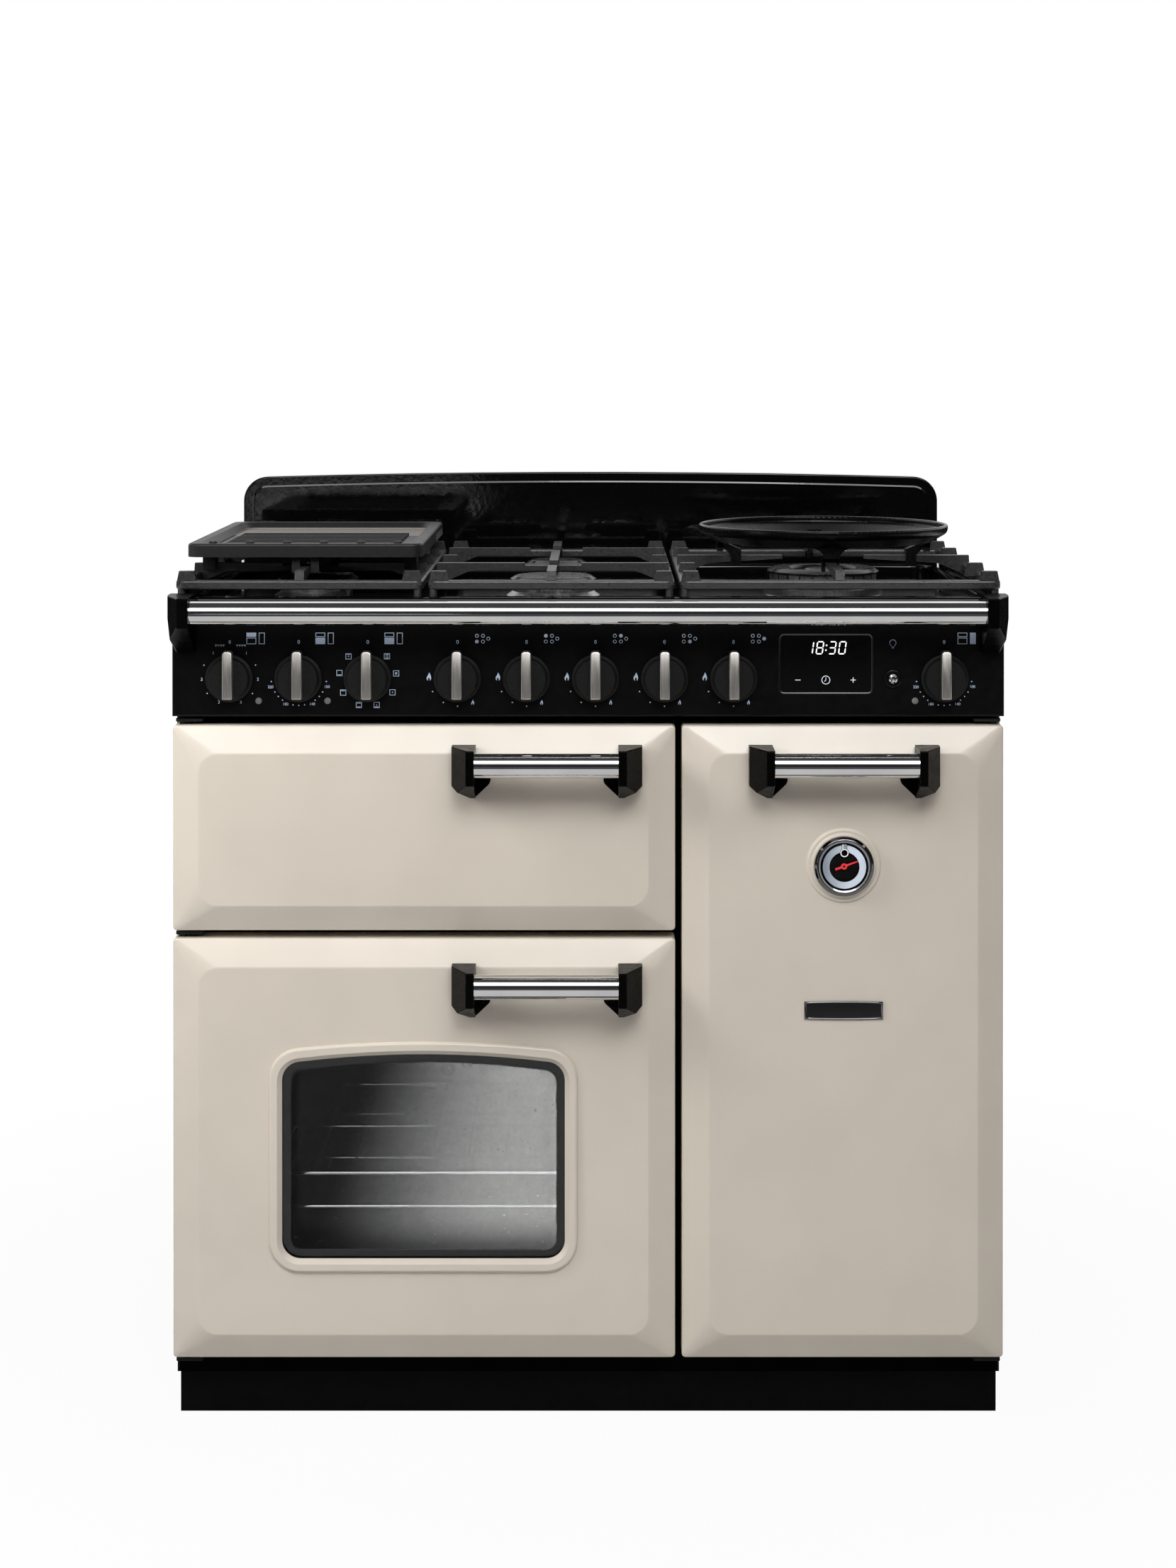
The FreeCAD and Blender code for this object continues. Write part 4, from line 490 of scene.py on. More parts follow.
def turned(profile, x, y, z, sides):
    """Circles about a line along Y, from rows of a radius and a depth in millimetres."""
    return [at_depth(circle_points(x, z, radius * MM, sides), y + depth * MM) for radius, depth in profile]


# The font's size against the height of its figures, and how far its outlines are thickened.
FONT_SHARE = 1.38
FONT_GROWTH = 0.018


class Ink:
    """Flat printed shapes on a face that looks to -Y, gathered into one thin mesh."""

    def __init__(self, y, thickness):
        self.mesh = bmesh.new()
        self.y = y
        self.thickness = thickness

    def shape(self, points):
        self.mesh.faces.new([self.mesh.verts.new((x, self.y, z)) for x, z in points])

    def band(self, outer, inner):
        loft(self.mesh, [at_depth(outer, self.y), at_depth(inner, self.y)], closed=False)

    def disc(self, x, z, radius, sides):
        self.shape(circle_points(x, z, radius, sides))

    def ring(self, x, z, radius, width, sides):
        self.band(circle_points(x, z, radius, sides), circle_points(x, z, radius - width, sides))

    def line(self, x0, z0, x1, z1, width):
        reach = Vector((x1 - x0, z1 - z0)).normalized() * (width / 2)
        side = Vector((-reach.y, reach.x))
        ends = ((x0, z0, 1), (x0, z0, -1), (x1, z1, -1), (x1, z1, 1))
        self.shape([(x + side.x * s, z + side.y * s) for x, z, s in ends])

    def block(self, *sides):
        self.shape(box_points(*sides))

    def outline(self, x0, x1, z0, z1, width):
        inner = box_points(x0 + width, x1 - width, z0 + width, z1 - width)
        self.band(box_points(x0, x1, z0, z1), inner)

    def words(self, text, x, z, height):
        curve = bpy.data.curves.new("legend", "FONT")
        curve.body = text
        curve.align_x = "CENTER"
        curve.align_y = "CENTER"
        curve.size = height * FONT_SHARE
        curve.offset = height * FONT_GROWTH
        holder = place("legend", curve)
        mesh = bpy.data.meshes.new_from_object(holder)
        mesh.transform(Matrix.Translation((x, self.y, z)) @ Matrix.Rotation(math.pi / 2, 4, "X"))
        self.mesh.from_mesh(mesh)
        bpy.data.objects.remove(holder)
        bpy.data.curves.remove(curve)
        bpy.data.meshes.remove(mesh)

    def piece(self, name, material, body):
        """Raise the shapes by the thickness and make a piece of them."""
        grown = bmesh.ops.extrude_face_region(self.mesh, geom=self.mesh.faces[:], use_keep_orig=True)
        raised = [part for part in grown["geom"] if isinstance(part, bmesh.types.BMVert)]
        bmesh.ops.translate(self.mesh, verts=raised, vec=(0, -self.thickness, 0))
        piece(name, self.mesh, material, body)


# Legends on the control panel. Places are measured from a knob's middle, in millimetres, and angles
# clockwise from the top, in degrees.

INK_SUNK, INK_THICK = 0.02, 0.12
ZERO_UP, ZERO_TALL = 38.3, 4.1
DOT_RADIUS = 0.75
# Figures and dots on both sides of the grill's knob: the figure, its angle and its radius
GRILL_TALL = 3.3
GRILL_FIGURES = (("1", 34, 32), ("2", 93.5, 30.3), ("3", 156, 29))
GRILL_DOTS = ((64, 31), (125, 29.8))
OVEN_TALL, OVEN_FIGURES_OUT, OVEN_DOTS_OUT = 3.0, 32, 30
OVEN_FIGURES = (("100", 108), ("140", 153), ("180", -153.5), ("220", -108.5))
OVEN_DOTS = (-98, 98, -121, 121, -132.5, 132.5, -144, 144, -168, 168, 180)
BURNER_DOTS, BURNER_DOTS_OUT = (-119, -150, 180), 30.8
# The oven sign's boxes: left, right, low and high sides from the sign's own corner
OVEN_BOXES = {"grill": (0, 10.5, -4.6, 0), "main": (0, 10.5, -12.4, -5.5), "tall": (13.3, 19.7, -12.4, 0)}
OVEN_SIGN_LEFT = {"grill": 18.0, "main": 18.0, "tall": 14.5}
OVEN_SIGN_TOP, OVEN_SIGN_LINE = 48.6, 0.7
# The grill sign's triangles: half width, height, pitch and level, then each row's start and its open ones
TRIANGLE_HALF, TRIANGLE_TALL, TRIANGLE_PITCH, TRIANGLE_UP = 1.35, 2.3, 2.75, 35.6
TRIANGLE_ROWS = ((-16.4, 2), (6.6, 0))
# A flame's outline, as shares of its half width and its height
FLAME_WIDTH = 0.3
FLAME = ((0.10, 0.5), (0.62, 0.22), (0.95, -0.08), (0.92, -0.32), (0.6, -0.5), (0.35, -0.5), (0.42, -0.3),
         (0.0, -0.12), (-0.42, -0.3), (-0.35, -0.5), (-0.6, -0.5), (-0.92, -0.32), (-0.85, -0.1),
         (-0.45, 0.1), (-0.12, 0.28))
# Large and small flame of a burner's knob: across, up and height
FLAMES = ((-31, 1.4, 8.7), (16.2, -26.4, 5.5))
BURNERS = {"rear_left": (20.8, 45.2), "rear_centre": (27.4, 45.2), "front_left": (20.8, 39.0),
           "front_centre": (27.4, 39.0), "wok": (33.1, 42.1)}
BURNER_RADIUS, BURNER_LINE, BURNER_SIDES = 2.0, 0.65, 24
# Signs of the function knob: angle, heat bars at the top (1) or foot (-1), and what is between them
FUNCTIONS_OUT = 31
FUNCTIONS = ((41.8, (1, -1), "fan"), (81.4, (), "fan dish"), (120.7, (), "dish"), (162, (-1,), "dish"),
             (198, (1, -1), ""), (238.8, (1,), ""), (279.5, (-1,), ""), (318, (1,), "dish"))
FUNCTION_HALF, FUNCTION_BAR, FUNCTION_LINE = 3.2, 1.9, 0.6
FAN_RADIUS, FAN_LINE, DISH_RADIUS = 1.35, 0.45, 0.6
# The bulb above the light button, the half width and drop of its neck, and the drop and half width of its
# two cap lines
BULB_UP, BULB_RADIUS, BULB_LINE = 38.5, 3.4, 0.55
BULB_NECK = (1.3, 3.6)
BULB_CAP = ((4.6, 1.3), (5.7, 0.8))


def around(spot, angle, radius):
    """The place at an angle and a radius from a knob's middle."""
    turn = math.radians(angle)
    return spot.x + radius * math.sin(turn) * MM, spot.z + radius * math.cos(turn) * MM


def dots(ink, spot, angles, radius):
    for angle in angles:
        ink.disc(*around(spot, angle, radius), DOT_RADIUS * MM, sides=14)


def figures(ink, spot, marks, radius, height):
    for text, angle in marks:
        ink.words(text, *around(spot, angle, radius), height * MM)


def oven_sign(ink, spot, filled):
    """Boxes that stand for the grill, the main oven and the tall oven, one of them filled."""
    left, top = spot.x + OVEN_SIGN_LEFT[filled] * MM, spot.z + OVEN_SIGN_TOP * MM
    for name, (x0, x1, z0, z1) in OVEN_BOXES.items():
        sides = (left + x0 * MM, left + x1 * MM, top + z0 * MM, top + z1 * MM)
        if name == filled:
            ink.block(*sides)
        else:
            ink.outline(*sides, OVEN_SIGN_LINE * MM)


def grill_signs(ink, spot):
    """Two rows of four small triangles, some of them open."""
    half, tall = TRIANGLE_HALF * MM, TRIANGLE_TALL * MM
    z = spot.z + TRIANGLE_UP * MM
    for start, open_count in TRIANGLE_ROWS:
        for i in range(4):
            x = spot.x + (start + TRIANGLE_HALF + TRIANGLE_PITCH * i) * MM
            corners = [(x - half, z), (x + half, z), (x, z - tall)]
            if i < open_count:
                middle = z - tall / 3
                ink.band(corners, [((cx + x) / 2, (cz + middle) / 2) for cx, cz in corners])
            else:
                ink.shape(corners)


def burner_signs(ink, spot, filled):
    """Flames and dots round a burner's knob, and five rings with its own burner filled."""
    for dx, dz, tall in FLAMES:
        x, z = spot.x + dx * MM, spot.z + dz * MM
        ink.shape([(x + px * FLAME_WIDTH * tall * MM, z + pz * tall * MM) for px, pz in FLAME])
    dots(ink, spot, BURNER_DOTS, BURNER_DOTS_OUT)
    for name, (dx, dz) in BURNERS.items():
        x, z = spot.x + dx * MM, spot.z + dz * MM
        if name == filled:
            ink.disc(x, z, BURNER_RADIUS * MM, BURNER_SIDES)
        else:
            ink.ring(x, z, BURNER_RADIUS * MM, BURNER_LINE * MM, BURNER_SIDES)


def function_sign(ink, x, z, bars, between):
    """A square oven sign: heat bars at the top or foot, a fan ring, or a dish in the middle."""
    half, bar, line = FUNCTION_HALF * MM, FUNCTION_BAR * MM, FUNCTION_LINE * MM
    ink.outline(x - half, x + half, z - half, z + half, line)
    for side in bars:
        ink.line(x - bar, z + side * bar, x + bar, z + side * bar, line)
    if "fan" in between:
        ink.ring(x, z, FAN_RADIUS * MM, FAN_LINE * MM, sides=16)
    if "dish" in between:
        ink.disc(x, z, DISH_RADIUS * MM, sides=12)


def bulb_sign(ink):
    low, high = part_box("light_button")
    x, z = (low.x + high.x) / 2, (low.z + high.z) / 2 + BULB_UP * MM
    line, neck, drop = BULB_LINE * MM, BULB_NECK[0] * MM, BULB_NECK[1] * MM
    points = [(x - neck, z - drop), *arc_points(x, z, BULB_RADIUS * MM, 210, -240, 16), (x + neck, z - drop)]
    for first, second in zip(points, points[1:]):
        ink.line(*first, *second, line)
    for drop, half in BULB_CAP:
        ink.line(x - half * MM, z - drop * MM, x + half * MM, z - drop * MM, line)


def panel_legends():
    """All the print on the control panel."""
    ink = Ink(Y_PANEL + INK_SUNK * MM, INK_THICK * MM)
    for spot in knob_pivots.values():
        ink.words("0", spot.x, spot.z + ZERO_UP * MM, ZERO_TALL * MM)
    grill = knob_pivots["grill_knob"]
    grill_signs(ink, grill)
    for text, angle, radius in GRILL_FIGURES:
        figures(ink, grill, ((text, -angle), (text, angle)), radius, GRILL_TALL)
    for angle, radius in GRILL_DOTS:
        dots(ink, grill, (-angle, angle), radius)
    oven_sign(ink, grill, "grill")
    for oven in ("main", "tall"):
        spot = knob_pivots[f"{oven}_oven_thermostat_knob"]
        figures(ink, spot, OVEN_FIGURES, OVEN_FIGURES_OUT, OVEN_TALL)
        dots(ink, spot, OVEN_DOTS, OVEN_DOTS_OUT)
        oven_sign(ink, spot, oven)
    function = knob_pivots["main_oven_function_knob"]
    oven_sign(ink, function, "main")
    for angle, bars, between in FUNCTIONS:
        function_sign(ink, *around(function, angle, FUNCTIONS_OUT), bars, between)
    for name, spot in knob_pivots.items():
        if name.endswith("_burner_knob"):
            burner_signs(ink, spot, name.replace("_burner_knob", ""))
    bulb_sign(ink)
    ink.piece("panel_legends", "ink", CARCASS)


# Clock: seven-segment digits, three touch signs and a bezel. Places are measured from its middle.

CLOCK_X, CLOCK_Z = 256.5 * MM, 824 * MM
CLOCK_FACE, CLOCK_INK = Y_PANEL + 0.62 * MM, 0.08 * MM
CLOCK_HALF_X, CLOCK_HALF_Z = 51.3, 32.8
# Loops of the bezel: how far in from the edge, depth and corner radius
CLOCK_BEZEL = ((0, 0.3, 6), (0, -0.3, 6), (0.5, -0.45, 5.5), (2.2, 0.4, 4), (2.3, 0.7, 4))
CLOCK_DIGITS = (("1", -17.2), ("8", -6.4), ("3", 7.0), ("0", 17.8))
SEGMENTS = {"0": "abcdef", "1": "bc", "3": "abcdg", "8": "abcdefg"}
DIGITS_UP, DIGIT_WIDE, DIGIT_TALL, DIGIT_SLANT = 17.2, 6.6, 13.0, 0.14
# A segment's width and the gap at its ends, as shares of the digit's height
SEGMENT_WIDTH, SEGMENT_GAP = 0.1, 0.03
COLON_X, COLON_HALF, COLON_RADIUS = 0.4, 2.6, 0.9
TOUCH_DOWN, MINUS_X, PLUS_X, TOUCH_HALF, TOUCH_LINE = 17.6, -30.2, 29.5, 2.8, 0.75
CLOCK_SIGN_RADIUS, CLOCK_SIGN_LINE, HAND_LINE = 4.7, 0.7, 0.6
# Hands of the clock sign: both ends, from the sign's middle
HANDS = ((0, 2.9, 0, 0), (0.2, 0.1, -1.6, -1.5))


def clock_digit(ink, text, x, z):
    """Seven bars in a slanted cell."""
    w, h, t = DIGIT_WIDE * MM / 2, DIGIT_TALL * MM / 2, DIGIT_TALL * MM * SEGMENT_WIDTH
    bars = {"a": (-w, h, w, h), "g": (-w, 0, w, 0), "d": (-w, -h, w, -h), "f": (-w, h, -w, 0),
            "b": (w, h, w, 0), "e": (-w, 0, -w, -h), "c": (w, 0, w, -h)}
    for name in SEGMENTS[text]:
        x0, z0, x1, z1 = bars[name]
        ahead = Vector((x1 - x0, z1 - z0)).normalized()
        side = Vector((-ahead.y, ahead.x)) * (t / 2)
        gap = ahead * (DIGIT_TALL * MM * SEGMENT_GAP)
        start, end = Vector((x0, z0)) + gap, Vector((x1, z1)) - gap
        inner0, inner1 = start + ahead * t / 2, end - ahead * t / 2
        corners = [start, inner0 + side, inner1 + side, end, inner1 - side, inner0 - side]
        ink.shape([(x + c.x + c.y * DIGIT_SLANT, z + c.y) for c in corners])


def rounded_box(half_x, half_z, radius):
    """A rectangle with round corners about the clock's middle."""
    points = []
    for turn, (right, up) in enumerate(((1, 1), (-1, 1), (-1, -1), (1, -1))):
        x, z = CLOCK_X + right * (half_x - radius), CLOCK_Z + up * (half_z - radius)
        points += arc_points(x, z, radius, 90 * turn, 90, 6)
    return points


def clock():
    """The time, the touch signs below it and the bezel."""
    digits = Ink(CLOCK_FACE, CLOCK_INK)
    level = CLOCK_Z + DIGITS_UP * MM
    for text, dx in CLOCK_DIGITS:
        clock_digit(digits, text, CLOCK_X + dx * MM, level)
    for dz in (-COLON_HALF, COLON_HALF):
        x = CLOCK_X + (COLON_X + dz * DIGIT_SLANT) * MM
        digits.disc(x, level + dz * MM, COLON_RADIUS * MM, sides=12)
    digits.piece("clock_digits", "digits", CARCASS)
    signs = Ink(CLOCK_FACE, CLOCK_INK)
    level = CLOCK_Z - TOUCH_DOWN * MM
    half = TOUCH_HALF * MM
    plus = CLOCK_X + PLUS_X * MM
    for x in (CLOCK_X + MINUS_X * MM, plus):
        signs.line(x - half, level, x + half, level, TOUCH_LINE * MM)
    signs.line(plus, level - half, plus, level + half, TOUCH_LINE * MM)
    signs.ring(CLOCK_X, level, CLOCK_SIGN_RADIUS * MM, CLOCK_SIGN_LINE * MM, sides=32)
    for x0, z0, x1, z1 in HANDS:
        signs.line(CLOCK_X + x0 * MM, level + z0 * MM, CLOCK_X + x1 * MM, level + z1 * MM, HAND_LINE * MM)
    signs.piece("clock_signs", "white_ink", CARCASS)
    mesh = bmesh.new()
    loops = []
    for inset, depth, radius in CLOCK_BEZEL:
        outline = rounded_box((CLOCK_HALF_X - inset) * MM, (CLOCK_HALF_Z - inset) * MM, radius * MM)
        loops.append(at_depth(outline, Y_PANEL + depth * MM))
    loft_ring(mesh, loops)
    smooth(piece("clock_bezel", mesh, "rim", CARCASS), angle=50)


# Thermometer on the tall door: its dial, lens and the collar round it. Sizes are in millimetres.

# Depth of the dial's print, with layers of this thickness on each other
DIAL_DEPTH, DIAL_LAYER = 3.48, 0.1
SCALE_RADIUS, SCALE_WIDTH = 23.2, 7.1
# The sign's bulb, with the black ground round it and the stem's two sides above it
SIGN_UP, SIGN_RADIUS, SIGN_WIDTH = 15, 4.3, 0.9
GROUND_RADIUS, GROUND_HALF, GROUND_TOP = 4.9, 2.9, 23.6
STEM_SIDES, STEM_START, STEM_TOP, STEM_LINE = (-1.9, -0.5), 3.9, 24.2, 0.7
# Four ticks beside the stem: both ends, the first one's height above the bulb, pitch and line
TICK_LEFT, TICK_RIGHT, TICK_START, TICK_PITCH, TICK_LINE = 0.9, 2.2, 4.6, 1.35, 0.6
# Rows of a radius and a depth: the lens from its front round to its rear, and the collar from its foot in
LENS = ((1, -8.15), (7, -8.1), (14, -7.8), (20, -7.3), (24.6, -6.6),
        (24.6, -5.9), (20, -6.6), (14, -7.1), (7, -7.4), (1, -7.45))
COLLAR = ((40.6, 0.3), (39.8, -0.9), (38.9, -1.9), (37.8, -2.4), (36.4, -2.4), (35.6, -2.2),
          (35.0, -2.9), (34.2, -3.9), (33.2, -4.4))
COLLAR_TOP, COLLAR_FOOT, COLLAR_LAP = -4.5, 0.3, 1.5
# The brackets of the tall door's handle stand on the door's raised field.
TALL_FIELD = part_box("tall_door_handle_brackets")[1].y


def dial_ink(layer):
    return Ink(DIAL_MIDDLE.y - (DIAL_DEPTH + layer * DIAL_LAYER) * MM, DIAL_LAYER * MM)


def thermometer_face():
    """The pale ring, the sign at its top on a black ground, and the domed lens."""
    x, y, z = DIAL_MIDDLE
    scale = dial_ink(0)
    scale.ring(x, z, SCALE_RADIUS * MM, SCALE_WIDTH * MM, sides=72)
    scale.piece("thermometer_scale", "dial", "tall_door")
    ground = dial_ink(1)
    bulb = z + SIGN_UP * MM
    ground.disc(x, bulb, GROUND_RADIUS * MM, sides=32)
    ground.block(x - GROUND_HALF * MM, x + GROUND_HALF * MM, bulb, z + GROUND_TOP * MM)
    ground.piece("thermometer_sign_ground", "dial_black", "tall_door")
    sign = dial_ink(2)
    sign.ring(x, bulb, SIGN_RADIUS * MM, SIGN_WIDTH * MM, sides=32)
    for dx in STEM_SIDES:
        sign.line(x + dx * MM, bulb + STEM_START * MM, x + dx * MM, z + STEM_TOP * MM, STEM_LINE * MM)
    for i in range(4):
        level = bulb + (TICK_START + TICK_PITCH * i) * MM
        sign.line(x + TICK_LEFT * MM, level, x + TICK_RIGHT * MM, level, TICK_LINE * MM)
    sign.piece("thermometer_sign", "sign", "tall_door")
    mesh = bmesh.new()
    loft(mesh, turned(LENS, x, y, z, sides=48))
    smooth(piece("thermometer_lens", mesh, "lens", "tall_door"))


def thermometer_collar():
    """Two rounded steps pressed in the door's skin round the thermometer."""
    low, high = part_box("thermometer")
    inner = (high.x - low.x) / 2 / MM - COLLAR_LAP
    profile = COLLAR + ((inner, COLLAR_TOP), (inner, COLLAR_FOOT))
    mesh = bmesh.new()
    loft_ring(mesh, turned(profile, DIAL_MIDDLE.x, TALL_FIELD, DIAL_MIDDLE.z, sides=72))
    smooth(piece("thermometer_collar", mesh, "door", "tall_door"), angle=60)


# Bare name plate on the tall door. Sizes are in millimetres.

PLATE_Z = 453 * MM
PLATE_BULGE, PLATE_STEPS = 0.8, 12
PLATE_HALF_X, PLATE_HALF_Z, PLATE_DEPTHS = 40, 7.2, (0.2, -1.0)
FRAME_HALF_X, FRAME_HALF_Z = 42.3, 9.4
# Loops of the frame: how far in from its edge, and depth
PLATE_FRAME = ((0, 0.3), (0, -1.2), (0.5, -1.9), (1.2, -2.1), (1.9, -1.8), (2.2, -1.0), (2.2, 0.3))


def arched_plate(half, tall, depth):
    """A wide outline whose long sides bow outwards."""
    points = []
    for side in (1, -1):
        for i in range(PLATE_STEPS + 1):
            share = 1 - 2 * i / PLATE_STEPS
            x = DIAL_MIDDLE.x + side * share * half * MM
            points.append((x, PLATE_Z + side * (tall + PLATE_BULGE * (1 - share * share)) * MM))
    return at_depth(points, TALL_FIELD + depth * MM)


def name_plate():
    border = bmesh.new()
    loft_ring(border, [arched_plate(FRAME_HALF_X - inset, FRAME_HALF_Z - inset, depth)
                       for inset, depth in PLATE_FRAME])
    smooth(piece("name_plate_frame", border, "dark_chrome", "tall_door"), angle=50)
    plate = bmesh.new()
    loft(plate, [arched_plate(PLATE_HALF_X, PLATE_HALF_Z, depth) for depth in PLATE_DEPTHS])
    piece("name_plate", plate, "gloss", "tall_door")


# Rounded edge of the splashback's panel, which catches the light as a thin line

SPLASH_RISE, SPLASH_RADIUS, SPLASH_FOOT, SPLASH_INSET = 7 * MM, 31 * MM, 40 * MM, 12 * MM
SPLASH_STEPS, CORNER_STEPS = 48, 8
# Corners of the edge's section: how far out, and depth, in millimetres
EDGE_SECTION = ((1.0, 0.1), (-1.2, -0.66), (-1.2, 3.1))


def panel_edge():
    """Points along the arched panel, with the way outwards at each."""
    low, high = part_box("splashback")
    half, radius = high.x - SPLASH_INSET, SPLASH_RADIUS - SPLASH_INSET
    shoulder = high.z - SPLASH_RISE - SPLASH_INSET
    middle = half - radius

    def top(x):
        return shoulder + SPLASH_RISE * (1 - (x / half) ** 2)

    points = [((-half, low.z + SPLASH_FOOT), (-1, 0))]
    for dx, dz in arc_points(0, 0, 1, 180, -90, CORNER_STEPS):
        points.append(((-middle + radius * dx, top(middle) - radius + radius * dz), (dx, dz)))
    corner = points[:]
    for i in range(1, SPLASH_STEPS):
        x = -middle + 2 * middle * i / SPLASH_STEPS
        points.append(((x, top(x)), (0, 1)))
    return points + [((-x, z), (-dx, dz)) for (x, z), (dx, dz) in reversed(corner)]


def splash_edge():
    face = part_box("splashback")[0].y
    sections = []
    for (x, z), (dx, dz) in panel_edge():
        sections.append([(x + dx * out * MM, face + depth * MM, z + dz * out * MM)
                         for out, depth in EDGE_SECTION])
    mesh = bmesh.new()
    loft(mesh, sections)
    piece("splashback_panel_edge", mesh, "enamel", CARCASS)


# Raised rims along the hob's sides, below the pan supports

RIM_INSET, RIM_END = 6 * MM, 18 * MM
# Right half of the rim's section: across and up, in millimetres
RIM_HALF = ((4.0, -0.6), (4.0, 4.0), (3.4, 6.0), (2.0, 7.2))


def hob_rims():
    """Low rounded rims that run between the feet of the outer pan supports."""
    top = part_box("hob_tray")[1].z
    section = [*RIM_HALF, *((-x, z) for x, z in reversed(RIM_HALF))]
    for name, side in (("left", -1), ("right", 1)):
        low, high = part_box(f"pan_support_{name}")
        middle = side * (max(abs(low.x), abs(high.x)) - RIM_INSET)
        mesh = bmesh.new()
        loft(mesh, [[(middle + x * MM, y, top + z * MM) for x, z in section]
                    for y in (low.y + RIM_END, high.y - RIM_END)])
        smooth(piece(f"hob_rim_{name}", mesh, "enamel", CARCASS))


# Handle screws: a round head with a hexagonal socket in each bracket's ear

SCREW_RADIUS, SOCKET_FLAT, SCREW_SIDES = 4.6 * MM, 1.9 * MM, 24
# The screws lie this far below the bar's middle and in from its ends, on ears of this depth.
SCREW_DROP, SCREW_IN, EAR_DEPTH = 21.5 * MM, 6.5 * MM, 3 * MM
# Loops of the head, as shares of its radius, and of the socket in it, with depths in millimetres
HEAD_LOOPS = ((1, 0.2), (1, -1.2), (0.9, -1.8), (0.66, -2.0))
SOCKET_DEPTHS = (-1.9, -0.2)


def hex_radius(angle):
    """Distance from the middle of the socket to its side."""
    sector = math.pi / 3
    return SOCKET_FLAT / math.cos((angle + sector / 2) % sector - sector / 2)


def screw_head(mesh, x, y, z):
    """A domed socket screw that looks to -Y."""
    turns = [2 * math.pi * i / SCREW_SIDES for i in range(SCREW_SIDES)]
    rows = [([SCREW_RADIUS * share] * SCREW_SIDES, depth) for share, depth in HEAD_LOOPS]
    rows += [([hex_radius(a) for a in turns], depth) for depth in SOCKET_DEPTHS]
    loft(mesh, [[(x + reach * math.cos(a), y + depth * MM, z + reach * math.sin(a))
                 for a, reach in zip(turns, reaches)] for reaches, depth in rows])


def handle_screws(door):
    low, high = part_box(f"{door}_handle_bar")
    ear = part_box(f"{door}_handle_brackets")[1].y - EAR_DEPTH
    heads = bmesh.new()
    for x in (low.x + SCREW_IN, high.x - SCREW_IN):
        screw_head(heads, x, ear, (low.z + high.z) / 2 - SCREW_DROP)
    smooth(piece(f"{door}_handle_screws", heads, "moulded", door))


# Printed border behind the window's outer pane

WINDOW_LAP, WINDOW_BOW, WINDOW_RADIUS, LEAST_RADIUS = 12 * MM, 10.5 * MM, 20 * MM, 4 * MM
WINDOW_STEPS = 16
BORDER_OUT, BORDER_IN, BORDER_DEPTH, BORDER_THICK = 6 * MM, 9 * MM, 4.3 * MM, 0.2 * MM


def window_outline(inset):
    """The window's opening, bowed at the top, drawn in by inset."""
    low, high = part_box("main_door_glass")
    edge = WINDOW_LAP + inset
    x0, x1, z0, z1 = low.x + edge, high.x - edge, low.z + edge, high.z - edge
    radius = max(WINDOW_RADIUS - inset, LEAST_RADIUS)
    left, right = x0 + radius, x1 - radius
    half, middle = (x1 - x0) / 2, (x0 + x1) / 2

    def top(x):
        return z1 - WINDOW_BOW * ((x - middle) / half) ** 2

    def corner(x, z, start):
        return arc_points(x, z, radius, start, 90, CORNER_STEPS)

    points = corner(left, z0 + radius, 180) + corner(right, z0 + radius, 270)
    points += [(x, top(x) + z) for x, z in corner(right, -radius, 0)]
    for i in range(1, WINDOW_STEPS):
        x = right - (right - left) * i / WINDOW_STEPS
        points.append((x, top(x)))
    return points + [(x, top(x) + z) for x, z in corner(left, -radius, 90)]


def window_border():
    border = Ink(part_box("main_door_glass")[0].y + BORDER_DEPTH, BORDER_THICK)
    border.band(window_outline(-BORDER_OUT), window_outline(BORDER_IN))
    border.piece("window_border", "gloss", "main_door")


panel_legends()
clock()
thermometer_face()
thermometer_collar()
name_plate()
splash_edge()
hob_rims()
for door in DOORS:
    handle_screws(door)
window_border()

# Studio: floor, cards that only reflections see, lamps, world and camera

# Light of the world on surfaces, and to the eye
FILL, EYE = 0.02, 1.0
FLOOR_RADIUS, FLOOR_SIDES = 9, 64
FLOOR_COLOR = (0.72, 0.72, 0.72, 1)
# The floor's share of plain white, which grows to 1 between these distances from the middle
FLOOR_GLOW, GLOW_RADII = 0.95, (0.5, 1.3)
# The floor card's bounds, the ends of its ramp along Y, and its stops: share of the way and brightness
FLOOR_CARD = (-5, 5, -8, -0.2)
FLOOR_CARD_SPAN = (-4.0, -0.2)
FLOOR_CARD_STOPS = ((0.0, 0.1), (0.46, 0.05), (0.52, 0.6), (0.93, 0.6), (0.96, 0.03), (1.0, 0.03))
# The window card's level, and its glow: axis, start, end and brightness at the end
CARD_LEVEL = 4 * MM
WINDOW_GLOW = (("X", -0.37, -0.08, 58.0), ("Y", -0.8, -1.0, 1.0))
# Sides of the studio that reflections see, and the side cards' brightness
WALL_X, WALL_FRONT, WALL_BACK, WALL_FOOT, WALL_TOP = 5, -7, 1, 0.01, 3.6
SIDE_LEVEL = 0.04
# Level and upright cards: their bounds and brightness
CEILING_CARD, CEILING_LEVEL = (-4, 4, -4.5, 1.2), 0.06
UPRIGHT_CARDS = {
    "front_card": (-6, 6, WALL_FRONT, WALL_FOOT, WALL_TOP, 0.03),
    "gleam_card": (-1.4, -0.5, WALL_FRONT + 0.1, 0.46, 0.64, 1.2),
    "back_card_-1": (-0.55, -WALL_X, WALL_BACK, 0.5, 1.02, 0.02),
    "back_card_1": (0.55, WALL_X, WALL_BACK, 0.5, 1.02, 0.02),
}
